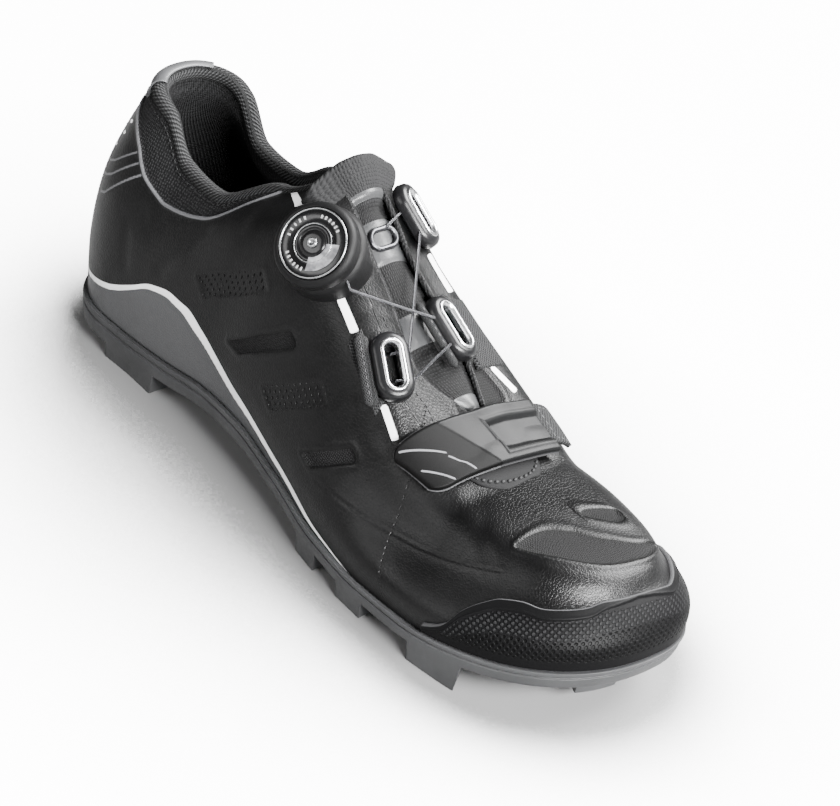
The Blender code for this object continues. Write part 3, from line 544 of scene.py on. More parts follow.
stud_effect = Effect("rows of dots", [("Place", "Vector", None), ("Pitch", "Float", .002), ("Size", "Float", .35), ("Turn", "Float", .785)])
g = stud_effect
turned_place = g.node("VectorRotate", 0, [("rotation_type", "Z_AXIS")], Vector=g.given["Place"], Angle=g.given["Turn"])
cells = g.node("VectorMath", 0, [("operation", "SCALE")], _0=turned_place, Scale=g.math("DIVIDE", 1.0, g.given["Pitch"]))
apart = g.node("TexVoronoi", 0, [("voronoi_dimensions", "2D")], Vector=cells, Scale=1.0, Randomness=0.0)
g.join(g.node("MapRange", 0, [("interpolation_type", "SMOOTHSTEP")], _0=apart, _1=g.given["Size"], _2=g.math("MULTIPLY", g.given["Size"], .55),
              _3=0.0, _4=1.0), g.result["Height"])

knit_effect = Effect("dotted knit", [("Place", "Vector", None), ("Pitch", "Float", .0011)], ("Height", "Shade"))
g = knit_effect
cells = g.node("VectorMath", 0, [("operation", "SCALE")], _0=g.given["Place"], Scale=g.math("DIVIDE", 1.0, g.given["Pitch"]))
loops = g.node("TexVoronoi", 0, [("voronoi_dimensions", "2D")], Vector=cells, Scale=1.0, Randomness=0.35)
g.join(g.step(loops, .55, .1), g.result["Height"])
g.join(g.node("TexNoise", 0, [], Vector=cells, Scale=.22, Detail=3.0), g.result["Shade"])


def hide_material():
    m = Net("upper microfibre", roughness=.42, specular=.20)
    on = {name: m.step(m.field(name), low, high) for name, low, high in
          (("stripe", -.00015, .00015), ("dashes", -.00015, .00015), ("satin", -.0001, .0003), ("knit", .0003, .0008),
           ("netted", -.0001, .0004), ("pierced", -.0004, .0006), ("lining", -.0005, .0005))}
    piping = m.step(m.math("ABSOLUTE", m.math("SUBTRACT", m.field("knit"), .00005)), .00085, .00045)
    chevron = m.step(m.field("chevrons"), .00055, .0003)
    white = m.math("MAXIMUM", on["stripe"], on["dashes"])
    pale = m.math("MAXIMUM", piping, chevron)
    edge_line = m.step(m.math("ABSOLUTE", m.math("ADD", m.field("satin"), .00045)), .0006, .0002)
    stays = m.step(m.field("stay"), .0005, .0002)
    lay = m.lay("across", "upward")
    shade, grain = m.effect(grain_effect.tree, "Shade", Place=m.place()), m.effect(grain_effect.tree, Place=m.place())
    knit = m.effect(knit_effect.tree, Place=lay, Pitch=.00125)
    knit_shade = m.effect(knit_effect.tree, "Shade", Place=lay, Pitch=.00125)
    net = m.effect(knit_effect.tree, Place=lay, Pitch=.00085)
    ribs = m.effect(rib_effect.tree, Place=lay, Pitch=.0016, Slant=.35)
    holes = m.math("MULTIPLY", on["pierced"], m.effect(stud_effect.tree, Place=m.lay("hole_x", "hole_y"), Pitch=.0026, Size=.27, Turn=.785))
    cloth = m.math("MAXIMUM", on["knit"], on["lining"])
    colour = m.mix(m.step(shade, .35, .65), (.0009, .0009, .00095), (.0022, .0022, .0023))
    colour = m.mix(on["satin"], colour, (.060, .0605, .0625))
    colour = m.mix(edge_line, colour, (.004, .004, .004))
    colour = m.mix(on["knit"], colour, m.mix(m.math("MULTIPLY", knit, knit_shade), (.002, .002, .0022), (.024, .0243, .0248)))
    colour = m.mix(on["lining"], colour, m.mix(ribs, (.004, .004, .0043), (.024, .024, .0245)))
    colour = m.mix(on["netted"], colour, m.mix(net, (.0004, .0004, .0004), (.0060, .0060, .0062)))
    # The holes of the pierced windows are painted near black as painted shade inside them; a thin line round the window
    # edges gets the same dark colour.
    rim_line = m.step(m.math("ABSOLUTE", m.field("netted")), .0006, .0002)
    colour = m.mix(m.math("MAXIMUM", holes, rim_line), colour, (.0003, .0003, .0003))
    colour = m.mix(pale, colour, (.10, .10, .105))
    colour = m.mix(white, colour, (.95, .95, .95))
    rough = m.span(shade, .30, .46, .3, .7)
    for mask, value in ((holes, .95), (cloth, .85), (on["satin"], .34), (on["netted"], .8), (pale, .3), (white, .28)):
        rough = m.blend(mask, rough, value)
    smooth_skin = m.math("SUBTRACT", 1.0, m.math("MAXIMUM", m.math("MAXIMUM", cloth, on["netted"]), white))
    worn = m.node("TexNoise", 0, [], Vector=m.place(), Scale=85.0, Detail=7.0, Roughness=.62)
    normal = m.bump(m.math("MULTIPLY", worn, smooth_skin), .0007, .22)
    normal = m.bump(m.math("MULTIPLY", grain, smooth_skin), .00010, .75, normal)
    normal = m.bump(m.math("MULTIPLY", knit, on["knit"]), .00030, .9, normal)
    normal = m.bump(m.math("MULTIPLY", net, on["netted"]), .00022, .9, normal)
    normal = m.bump(m.math("MULTIPLY", ribs, on["lining"]), .00035, .8, normal)
    normal = m.bump(m.math("MULTIPLY", holes, -1.0), .0006, 1.0, normal)
    normal = m.bump(m.math("MULTIPLY", stays, -1.0), .00025, .8, normal)
    m.put(Base_Color=colour, Roughness=rough, Normal=normal)
    return m.material


def hole_places():
    """Places in the pierced windows along and across each, for their rows of holes."""
    x, y = np.zeros_like(pierced), np.zeros_like(pierced)
    at = np.stack(np.broadcast_arrays(ways * ACROSS, heights * UPWARD), -1)
    for outline in PIERCED + [mirrored(o) for o in PIERCED]:
        corners = np.array(outline) * (ACROSS, UPWARD)
        along = unit(corners[2] - corners[0])
        nearby = inside(outline) > -.004
        x = np.where(nearby, (at - corners[0]) @ along, x)
        y = np.where(nearby, (at - corners[0]) @ np.array([-along[1], along[0]]), y)
    return x, y


hole_x, hole_y = hole_places()
upper = piece("upper_shell", rows, grid_faces(UPPER_COLUMNS, columns, wrap_rows=True, wrap_columns=True), hide_material())
NONE = -.02
lining_rows = full_rows(np.full_like(knit, -.02) + (knit > 1), .0, .02)
for name, field in (("stripe", full_rows(stripe, NONE, NONE)), ("satin", full_rows(satin, NONE, NONE)), ("dashes", full_rows(dashes, NONE, NONE)),
                    ("knit", full_rows(knit, .02, .02)), ("netted", full_rows(windows, NONE, NONE)),
                    ("pierced", full_rows(pierced, NONE, NONE)), ("chevrons", full_rows(chevrons, .02, .02)),
                    ("stay", full_rows(np.minimum(np.minimum(stay_edge, quarter_edge), .02), .02, .02)),
                    ("lining", lining_rows), ("across", np.broadcast_to(upper_across[:, None], rows.shape[:2])), ("upward", upper_down),
                    ("hole_x", full_rows(hole_x, 0, 0)), ("hole_y", full_rows(hole_y, 0, 0))):
    kept = upper.data.attributes.new(name, "FLOAT", "POINT")
    kept.data.foreach_set("value", np.ascontiguousarray(field).ravel().astype(np.float32))
merge(upper)
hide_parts("upper")


# The topline binding: a ribbed knit roll sewn over the foam along the collar's rim, from the throat
# on one side round the heel to the throat on the other.
def tube(name, path, normals, half_high, half_wide, material, segments=14, closed_ends=True):
    """A roll along a path, with its section's half height along the normals and half width across."""
    path, normals = np.asarray(path, float), unit(np.asarray(normals, float))
    along = unit(np.gradient(path, axis=0))
    side = unit(np.cross(along, normals))
    high, wide = np.broadcast_to(half_high, len(path))[:, None], np.broadcast_to(half_wide, len(path))[:, None]
    rings = [path + normals * high * np.cos(q) + side * wide * np.sin(q) for q in np.arange(segments) * 2 * np.pi / segments]
    points = np.stack(rings, 1)
    faces = [face[::-1] for face in grid_faces(len(path), segments, wrap_columns=True)]
    if closed_ends:
        faces += [list(range(segments))[::-1], [(len(path) - 1) * segments + k for k in range(segments)]]
    made = piece(name, points, faces, material)
    far = np.concatenate([[0], np.cumsum(np.linalg.norm(np.diff(path, axis=0), axis=1))])
    for title, values in (("across", np.repeat(far, segments)), ("upward", np.tile(np.arange(segments) * .0012, len(path)))):
        made.data.attributes.new(title, "FLOAT", "POINT").data.foreach_set("value", values.astype(np.float32))
    return made


def stitches(name, paths, normals, length, gap, radius, material, sunk=.0002):
    """Thread stitches along paths, joined in one piece, each a short rounded bar."""
    points, faces = [], []
    shape = [(-1.0, .05), (-.82, .75), (-.4, 1.0), (.4, 1.0), (.82, .75), (1.0, .05)]
    for path, normal in zip(paths, normals):
        path, normal = np.asarray(path, float), unit(np.broadcast_to(np.asarray(normal, float), np.shape(path)))
        far = np.concatenate([[0], np.cumsum(np.linalg.norm(np.diff(path, axis=0), axis=1))])
        for start in np.arange(gap / 2, far[-1] - length, length + gap):
            ends = [np.array([np.interp(x, far, path[:, k]) for k in range(3)]) for x in (start, start + length)]
            n = unit(np.array([np.interp(start + length / 2, far, normal[:, k]) for k in range(3)]))
            way_on, centre = unit(ends[1] - ends[0]), (ends[0] + ends[1]) / 2 - n * sunk
            across = np.cross(way_on, n)
            first_point = len(points)
            for along, wide in shape:
                points += [centre + way_on * along * length / 2 + (n * np.cos(q) + across * np.sin(q)) * wide * radius
                           for q in np.arange(6) * np.pi / 3]
            faces += [[first_point + r * 6 + k, first_point + r * 6 + (k + 1) % 6, first_point + (r + 1) * 6 + (k + 1) % 6,
                       first_point + (r + 1) * 6 + k] for r in range(5) for k in range(6)]
            faces += [[first_point + k for k in range(5, -1, -1)], [first_point + 30 + k for k in range(6)]]
    made = piece(name, points, faces, material)
    return made


def on_skin(line, lift=.0002, count=60):
    """A path over the upper through places given as way and height, with its normals."""
    line = np.array(line)
    k = np.linspace(0, len(line) - 1, count)
    u, t = (np.interp(k, np.arange(len(line)), line[:, i]) for i in (0, 1))
    normal = outward(u, t)
    return skin(u, t) + normal * lift, normal


binding_ways = np.linspace(-.415, .415, 420)
binding_rim = skin(binding_ways, 1.0)
binding_out = outward(binding_ways, .985)
binding_up = unit(skin(binding_ways, 1.0) - skin(binding_ways, .96))
binding_wall = wall(binding_ways, np.ones_like(binding_ways))[:, None]
ends = np.minimum(1, np.minimum(binding_ways + .415, .415 - binding_ways) / .05) ** .5
binding_path = binding_rim - binding_out * binding_wall * .5 + binding_up * .0006
m = Net("ribbed knit binding", roughness=.85, specular=.25)
ribs = m.effect(rib_effect.tree, Place=m.lay("across", "upward"), Pitch=.0017, Slant=.9)
# The rib crests are painted lighter and the grooves darker: painted highlight and shade along the ribs.
m.put(Base_Color=m.mix(m.step(ribs, -.5, .6), (.0022, .0022, .0024), (.030, .0304, .031)),
      Roughness=m.span(ribs, .92, .74), Normal=m.bump(ribs, .0006, 1.0))
binding = tube("topline_binding", binding_path, binding_up, np.maximum(.0004, (binding_wall[:, 0] * .5 + .0005) * ends),
               np.maximum(.0004, (binding_wall[:, 0] * .5 + .0008) * ends), m.material, 16)
m = Net("black thread", roughness=.6, specular=.3)
twist = m.node("TexNoise", 0, [], Vector=m.place(), Scale=2500.0)
m.put(Base_Color=m.mix(twist, (.003, .003, .0033), (.012, .012, .0125)), Roughness=m.span(twist, .5, .8), Normal=m.bump(twist, .00004, .6))
black_thread = m.material
m = Net("grey thread", roughness=.6, specular=.3)
twist = m.node("TexNoise", 0, [], Vector=m.place(), Scale=2500.0)
m.put(Base_Color=m.mix(twist, (.025, .025, .026), (.07, .07, .072)), Roughness=m.span(twist, .5, .8), Normal=m.bump(twist, .00004, .6))
grey_thread = m.material
topline_seam = on_skin([(u, .945) for u in np.linspace(-.30, .30, 40)], .0002, 300)
stitches("topline_stitches", [topline_seam[0]], [topline_seam[1]], .0016, .0010, .00028, black_thread)
seams = [on_skin(line) for line in ([(.576, .93), (.598, .895), (.612, .885), (.624, .855), (.640, .815)],
                                    [(.52, .93), (.545, .925), (.565, .915)], [(1.36, .87), (1.372, .862), (1.39, .89), (1.402, .93)])]
stitches("throat_stitches", [a for a, _ in seams], [b for _, b in seams], .0016, .0009, .00026, black_thread)


# The heel patch: a silver satin tab folded over the heel's rim and sewn down, its edge turned in.
def layer(name, us, lows, highs, material, thick, rows=14, lift=.0002, edge=.0007, bulge=None, fields=None):
    """A sheet that follows the upper between two edges, its border rounded down to the skin."""
    us = np.asarray(us)[:, None]
    k = np.linspace(0, 1, rows)[None, :]
    t = np.asarray(lows)[:, None] * (1 - k) + np.asarray(highs)[:, None] * k
    base, normal = skin(us, t), outward(us, t)
    down = np.linalg.norm(np.gradient(base, axis=1), axis=-1)
    far = np.cumsum(down, 1) - down[:, :1]
    from_edge = np.minimum(far, far[:, -1:] - far)
    run = np.linalg.norm(np.gradient(base, axis=0), axis=-1)
    along = np.cumsum(run, 0) - run[:1]
    from_edge = np.minimum(from_edge, np.minimum(along, along[-1:] - along))
    round_off = np.sqrt(np.clip(1 - (1 - np.clip(from_edge / edge, 0, 1)) ** 2, 0, 1))
    height = lift + thick * round_off + (bulge(us, t) if bulge else 0)
    top = base + normal * height[..., None]
    low = base - normal * .0004
    count = top[..., 0].size
    shape = top.shape[:2]
    faces = grid_faces(*shape)
    rim = ([i * shape[1] for i in range(shape[0])] + [(shape[0] - 1) * shape[1] + j for j in range(1, shape[1])]
           + [i * shape[1] + shape[1] - 1 for i in range(shape[0] - 2, -1, -1)] + list(range(shape[1] - 2, 0, -1)))
    faces += [[a, b, count + b, count + a] for a, b in zip(rim, rim[1:] + rim[:1])]
    faces += [[count + i for i in f[::-1]] for f in grid_faces(*shape)]
    made = piece(name, np.concatenate([top.reshape(-1, 3), low.reshape(-1, 3)]), faces, material)
    for title, values in (("across", along), ("upward", far), ("edge", from_edge)) + (fields(us, t, far) if fields else ()):
        twice = np.concatenate([values.ravel(), values.ravel()])
        made.data.attributes.new(title, "FLOAT", "POINT").data.foreach_set("value", twice.astype(np.float32))
    merge(made)
    return made


m = Net("silver satin", roughness=.38, metallic=.2, specular=.4)
shade = m.effect(grain_effect.tree, "Shade", Place=m.place(), Scale=3.0)
m.put(Base_Color=m.mix(shade, (.045, .046, .048), (.080, .081, .083)), Roughness=m.span(shade, .32, .46),
      Normal=m.bump(m.effect(grain_effect.tree, Place=m.place(), Scale=1.4), .00005, .6))
satin_silver = m.material
tab_ways = np.linspace(-.060, .080, 60)
tab_low = .895 + .030 * (tab_ways / .080) ** 2
heel_tab = layer("heel_tab_patch", tab_ways, tab_low, np.full(60, .992), satin_silver, .0006, rows=16)
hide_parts("heel_tab")
seam = on_skin(list(zip(tab_ways, tab_low + .018)), .0009, 120)
stitches("heel_tab_stitches", [seam[0]], [seam[1]], .0017, .0010, .0003, black_thread)
over_us = tab_ways
turn = np.linspace(-.25, .56, 14)[None, :, None] * np.pi
over_rim = skin(over_us, 1.0) - outward(over_us, .985) * wall(over_us, np.ones(60))[:, None] * .5
over_up = unit(skin(over_us, 1.0) - skin(over_us, .96))
over_out = outward(over_us, .985)
radius = (wall(over_us, np.ones(60)) * .5 + .0016)[:, None, None]
cap = over_rim[:, None] + over_up[:, None] * .0006 + radius * (over_out[:, None] * np.cos(turn) + over_up[:, None] * np.sin(turn))
cap_piece = piece("heel_tab_fold", cap, grid_faces(60, 14), satin_silver)
fold = cap_piece.modifiers.new("fold", "SOLIDIFY")
fold.thickness = .0006


# The outsole: a stiff nylon and rubber sole moulded in one, with an arch, toe spring and tall lugs
# for mud, and two rails between which the cleat bolts. Its lip stands a little proud of the upper.
SOLE_LIP = 0.0014
PLATE = np.array([[0.00, .46], [.105, .44], [0.22, .40], [0.34, .36], [0.46, .34], [0.60, .32], [0.76, .30], [1.0, .30]])
LUGS = [(.143, .235, .40, 1.0, 0.0), (.545, .585, .46, 1.0, 0.0), (.628, .672, .46, 1.0, 0.0), (.735, .790, .52, 1.0, 0.0),
        (.925, .985, .52, .90, 0.0072)]
CLEAT = (.632, .690, .40, 0.0042)
SHARES = [0, .40, .46, .52, .90, .93]
coarse_ways = sorted(set([0, .035, .07, .105] + [w for a, b, *_ in LUGS for w in (a, (a + b) / 2, b)]
                         + [CLEAT[1]] + [.28, .33, .38, .43, .48, .52, .71, .82, .86, .895]))
coarse_ways += [1.0] + [2 - w for w in coarse_ways[:0:-1]] + [2.0]
sole_ring = np.concatenate([np.linspace(a, b, 6, endpoint=False) for a, b in zip(coarse_ways, coarse_ways[1:])])


def feather(x):
    return share("feather", x / LENGTH) * SOLE_STACK


def footprint(u, part, extra, height):
    spine, reach, side = station(u)
    flat = spine + reach * part + unit(reach) * extra
    return np.concatenate([flat, np.broadcast_to(height(flat[..., 0]), flat.shape[:-1])[..., None]], -1) + HEEL


sole_top = lambda x: feather(x) - GAP
sole_low = lambda x: feather(x) - GAP - smooth(PLATE[:, 0], PLATE[:, 1], x / LENGTH) * SOLE_STACK
section = [footprint(sole_ring, s, 0, sole_top) for s in (0, .5, .9)]
lip, low = footprint(sole_ring, 1, SOLE_LIP, sole_top), footprint(sole_ring, 1, SOLE_LIP * .2, sole_low)
section += [lip - (0, 0, 0)] + [lip * (1 - k) + low * k + unit(lip - footprint(sole_ring, .9, 0, sole_top)) * bow
                                for k, bow in ((.12, .0003), (.24, .0002), (.30, -.0006), (.36, -.0006), (.42, .0001), (.7, .0002))] + [low]
section += [footprint(sole_ring, s, 0, sole_low) for s in SHARES[::-1]]
section = np.stack(section, 1)
ring_count, width = section.shape[:2]
first = width - len(SHARES) - 1
work = bmesh.new()
verts = [work.verts.new(p) for p in section.reshape(-1, 3)]
cells = {}
for i in range(ring_count):
    for j in range(width - 1):
        k = (i + 1) % ring_count
        cells[i, j] = work.faces.new([verts[n] for n in (i * width + j, k * width + j, k * width + j + 1, i * width + j + 1)])


def cells_between(a, b, inner, outer, side):
    """The cells of the underside between two ways round and two shares of the half width."""
    found = []
    for (i, j), cell in cells.items():
        start, end = sole_ring[i], sole_ring[(i + 1) % ring_count] or 2.0
        if (start >= 1) != bool(side) or j < first:
            continue
        if side:
            start, end = 2 - end, 2 - start
        high, low_share = ([1.0] + SHARES[::-1])[j - first:j - first + 2]
        if start >= a - 1e-6 and end <= b + 1e-6 and low_share >= inner - 1e-9 and high <= outer + 1e-9:
            found.append(cell)
    return found


LUG_DRAFT = .0012
blocks = [(cells_between(a, b, inner, outer, side), height) for a, b, inner, outer, height in LUGS for side in (0, 1)]
blocks.append((cells_between(CLEAT[0], CLEAT[1], 0, CLEAT[2], 0) + cells_between(CLEAT[0], CLEAT[1], 0, CLEAT[2], 1), CLEAT[3]))
for block, height in blocks:
    made = bmesh.ops.extrude_face_region(work, geom=block)
    fresh = [v for v in made["geom"] if isinstance(v, bmesh.types.BMVert)]
    bmesh.ops.delete(work, geom=[f for f in block if f.is_valid], context="FACES_ONLY")
    middle = np.mean([v.co for v in fresh], 0)
    for v in fresh:
        d = middle[:2] - np.array(v.co[:2])
        d *= min(LUG_DRAFT, np.linalg.norm(d) * .5) / (np.linalg.norm(d) + 1e-12)
        v.co = (v.co[0] + d[0], v.co[1] + d[1], height)
bmesh.ops.remove_doubles(work, verts=work.verts, dist=1e-6)
bmesh.ops.recalc_face_normals(work, faces=work.faces)
m = Net("sole rubber", roughness=.45, specular=.22)
shade = m.effect(grain_effect.tree, "Shade", Place=m.place(), Scale=1.0)
scuff = m.node("TexNoise", 0, [], Vector=m.place(), Scale=90.0, Detail=8.0, Roughness=.7)
m.put(Base_Color=m.mix(m.step(shade, .3, .7), (.028, .0284, .0292), (.046, .0466, .048)),
      Roughness=m.span(scuff, .34, .58, .3, .7),
      Normal=m.bump(m.effect(grain_effect.tree, Place=m.place(), Scale=1.6), .00006, .7))
sole_mesh = bpy.data.meshes.new("outsole_rubber")
work.to_mesh(sole_mesh)
work.free()
outsole = bpy.data.objects.new("outsole_rubber", sole_mesh)
bpy.context.collection.objects.link(outsole)
sole_mesh.materials.append(m.material)
sole_mesh.shade_smooth()
rounding = outsole.modifiers.new("rounding", "BEVEL")
rounding.width, rounding.segments, rounding.limit_method, rounding.angle_limit = .0006, 2, "ANGLE", np.radians(38)
rounding.harden_normals = True
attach(outsole, "root")
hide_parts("outsole")

# The insole: a thin foam footbed, faced with fabric, laid loose inside. It is the solid itself.
m = Net("footbed fabric", roughness=.9, sheen=.2)
weave = m.effect(knit_effect.tree, Place=m.place(), Pitch=.0012)
m.put(Base_Color=m.mix(weave, (.002, .002, .0022), (.007, .007, .0075)), Roughness=m.span(weave, .95, .8), Normal=m.bump(weave, .0002, .8))
for slot in frame["nodes"]["insole"].material_slots:
    slot.material = m.material


# The tongue: mesh and thin foam under the cable, sewn in at the toe end, with satin patches where the
# cable keeper and the guides press, and a padded textile lobe on top.
def way(along, side):
    w = HEEL_TURN + (TOE_TURN - HEEL_TURN) * (along - HEEL_PIVOT) / (TOE_PIVOT - HEEL_PIVOT)
    return np.where(np.asarray(side) < 0, w, 2 - w)


def tongue_section(along):
    """Points across the tongue's upper face at a station, from the outer side to the inner."""
    held = [[skin(way(along, side), t) - outward(way(along, side), t) * (wall(way(along, side), t) + SEAT + .0008)
             for t in (.88, .94, 1.0)] for side in (-1, 1)]
    middle = [held[0][2] * (1 - k) + held[1][2] * k + np.array([.28, 0, 1.0]) * .0022 * (1 - (2 * k - 1) ** 2)
              for k in (.25, .5, .75)]
    return np.array(held[0] + middle + held[1][::-1])


TONGUE_TO, TONGUE_FROM, TONGUE = .672, .455, .0032
TONGUE_RISE = np.array([-0.0205, 0.0020, 0.0168])
stations = [tongue_section(a) for a in np.linspace(TONGUE_TO, TONGUE_FROM, 11)]
last = stations[-1]
stations += [last.mean(0) + (last - last.mean(0)) * (1, wide, wide) + TONGUE_RISE * rise
             for rise, wide in ((.24, .66), (.44, .92), (.62, 1.30), (.80, 1.48), (.93, 1.18))]
thickness = np.array([TONGUE] * 11 + [.0050, .0070, .0080, .0078, .006])
rough_grid = np.array(stations)


def spread(values, count, axis):
    """More places along a grid, smoothly between its own."""
    old, new = np.linspace(0, 1, values.shape[axis]), np.linspace(0, 1, count)
    moved = np.moveaxis(values, axis, 0)
    flat = moved.reshape(moved.shape[0], -1)
    made = np.stack([smooth(old, flat[:, k], new) for k in range(flat.shape[1])], -1)
    return np.moveaxis(made.reshape((count,) + moved.shape[1:]), 0, axis)


TONGUE_ROWS, TONGUE_WIDE = 110, 48
tongue_top = spread(spread(rough_grid, TONGUE_ROWS, 0), TONGUE_WIDE, 1)
tongue_thick = smooth(np.linspace(0, 1, 16), thickness, np.linspace(0, 1, TONGUE_ROWS))[:, None]
tongue_up = unit(np.cross(np.gradient(tongue_top, axis=1), np.gradient(tongue_top, axis=0)))
tongue_up *= np.sign(tongue_up[..., 2:].mean())
k_across = np.linspace(-1, 1, TONGUE_WIDE)[None, :]
k_along = np.linspace(0, 1, TONGUE_ROWS)[:, None]
border = np.minimum((1 - np.abs(k_across)) / .16, np.minimum(k_along / .03, (1 - k_along) / .05))
puff = np.sqrt(np.clip(1 - (1 - np.clip(border, 0, 1)) ** 2, 0, 1))
tongue_lobe = ramp(k_along, .70, .80) * np.ones_like(k_across)
PATCHES = ((.03, .08), (.27, .38), (.55, .68), (.77, .81))       # satin patches, shares of the tongue's length
patch = np.max([np.minimum(k_along - a, b - k_along) for a, b in PATCHES], 0) * .09 * np.ones_like(k_across)
patch = np.where(np.abs(k_across) < .80, patch, -.02)
pad = tongue_thick * (.5 + .5 * puff)
swell = .0024 * tongue_lobe * puff * (1 + .25 * np.cos(k_across * 3.0)) + .0004 * ramp(patch, 0, .0008)
tongue_outer = tongue_top + tongue_up * (swell - (1 - puff) * tongue_thick * .4)[..., None]
tongue_inner = tongue_top - tongue_up * pad[..., None]
half = TONGUE_ROWS * TONGUE_WIDE
grid = grid_faces(TONGUE_ROWS, TONGUE_WIDE)
rim = ([i * TONGUE_WIDE for i in range(TONGUE_ROWS)] + [(TONGUE_ROWS - 1) * TONGUE_WIDE + j for j in range(1, TONGUE_WIDE)]
       + [i * TONGUE_WIDE + TONGUE_WIDE - 1 for i in range(TONGUE_ROWS - 2, -1, -1)] + list(range(TONGUE_WIDE - 2, 0, -1)))
faces = grid + [[half + i for i in f[::-1]] for f in grid] + [[a, b, half + b, half + a] for a, b in zip(rim, rim[1:] + rim[:1])]
m = Net("tongue mesh", roughness=.85, specular=.25)
lay = m.lay("across", "upward")
net, net_shade = m.effect(knit_effect.tree, Place=lay, Pitch=.0013), m.effect(knit_effect.tree, "Shade", Place=lay, Pitch=.0013)
on_patch, on_lobe = m.step(m.field("patch"), -.0001, .0003), m.step(m.field("lobe"), .4, .6)
grain = m.effect(grain_effect.tree, Place=m.place())
colour = m.mix(net, (.0006, .0006, .0007), (.0060, .0060, .0063))
colour = m.mix(on_lobe, colour, m.mix(net_shade, (.003, .003, .0033), (.009, .009, .0094)))
colour = m.mix(on_patch, colour, (.034, .0345, .0355))
normal = m.bump(m.math("MULTIPLY", net, m.math("SUBTRACT", 1.0, on_patch)), .0003, .9)
m.put(Base_Color=colour, Roughness=m.blend(on_patch, .85, .32), Normal=m.bump(m.math("MULTIPLY", grain, on_patch), .00006, .6, normal))
tongue = piece("tongue_padded", np.concatenate([tongue_outer.reshape(-1, 3), tongue_inner.reshape(-1, 3)]), faces, m.material)
tongue_across = np.broadcast_to(np.concatenate([[0], np.cumsum(np.linalg.norm(np.diff(tongue_top[20], axis=0), axis=1))])[None], patch.shape)
tongue_along = np.broadcast_to(np.concatenate([[0], np.cumsum(np.linalg.norm(np.diff(tongue_top[:, 24], axis=0), axis=1))])[:, None], patch.shape)
for name, field in (("across", tongue_across), ("upward", tongue_along), ("patch", patch), ("lobe", tongue_lobe)):
    under = np.full(half, -.02) if name == "patch" else field.ravel()
    tongue.data.attributes.new(name, "FLOAT", "POINT").data.foreach_set("value", np.concatenate([field.ravel(), under]).astype(np.float32))
merge(tongue)
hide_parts("tongue")


# The toe bumper: a moulded rubber rand round the toe with a smooth wavy band over rows of raised
# dots that turn to dimples lower down. It is bonded to the upper. Its raised dots and its edge are
# painted lighter as painted highlights, and its dimples darker as painted shade.
BUMPER = np.array([[.745, .10], [.766, .205], [.777, .314], [.792, .383], [.812, .433], [.837, .447], [.861, .431], [.888, .439],
                   [.914, .453], [.942, .486], [.982, .481], [1.022, .453], [1.05, .43], [1.10, .44], [1.16, .40], [1.21, .26],
                   [1.25, .12]])
bumper_us = np.linspace(.745, 1.25, 420)
bumper_top = smooth(BUMPER[:, 0], BUMPER[:, 1], bumper_us)


def bumper_shape(us, t):
    """The band between the two wavy lines stands a little over the dotted field."""
    top = smooth(BUMPER[:, 0], BUMPER[:, 1], us)
    below = (top - t) * .075
    band = BAND_WIDE * (.35 + .65 * np.clip(np.abs(us - .985) / .06, 0, 1))
    return -.0005 * ramp(below, band, band + .0006) + .00020 * np.exp(-((below - band) / .0005) ** 2)


BAND_WIDE = .0042
m = Net("bumper rubber", roughness=.48, specular=.06)
studs = m.effect(stud_effect.tree, Place=m.lay("across", "upward"), Pitch=.00165, Size=.42, Turn=.785)
field = m.step(m.field("band"), .0006, .0010)
lower = m.step(m.field("band"), .0085, .0105)
smooth_rand = m.step(m.field("low"), .0050, .0042)
dots = m.math("MULTIPLY", m.math("MULTIPLY", studs, field), m.math("SUBTRACT", 1.0, smooth_rand))
signed = m.math("MULTIPLY", dots, m.span(lower, 1.0, -.7))
shade = m.effect(grain_effect.tree, "Shade", Place=m.place())
painted_edge_highlight = m.step(m.field("edge"), .00075, .00035)
colour = m.mix(shade, (.0012, .0012, .0013), (.0030, .0030, .0032))
# Raised dots painted lighter: a painted highlight on their tops.
colour = m.mix(m.math("MULTIPLY", dots, m.span(lower, .8, 0.0)), colour, (.012, .012, .0125))
# Dimples painted darker: painted shade inside them.
colour = m.mix(m.math("MULTIPLY", dots, lower), colour, (.0008, .0008, .0008))
# A pale line along the rand's rounded edge: a painted highlight.
colour = m.mix(painted_edge_highlight, colour, (.06, .06, .062))
normal = m.bump(m.effect(grain_effect.tree, Place=m.place(), Scale=1.5), .00004, .6)
m.put(Base_Color=colour, Roughness=m.span(shade, .40, .55), Normal=m.bump(signed, .00045, 1.0, normal))
bumper = layer("toe_bumper_rand", bumper_us, np.full(420, .004), bumper_top, m.material, .0012, rows=80, lift=.0003, edge=.0008,
               bulge=bumper_shape, fields=lambda us, t, far: (
                   ("band", (smooth(BUMPER[:, 0], BUMPER[:, 1], us) - t) * .075 - BAND_WIDE), ("low", far)))
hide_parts("toe_bumper")


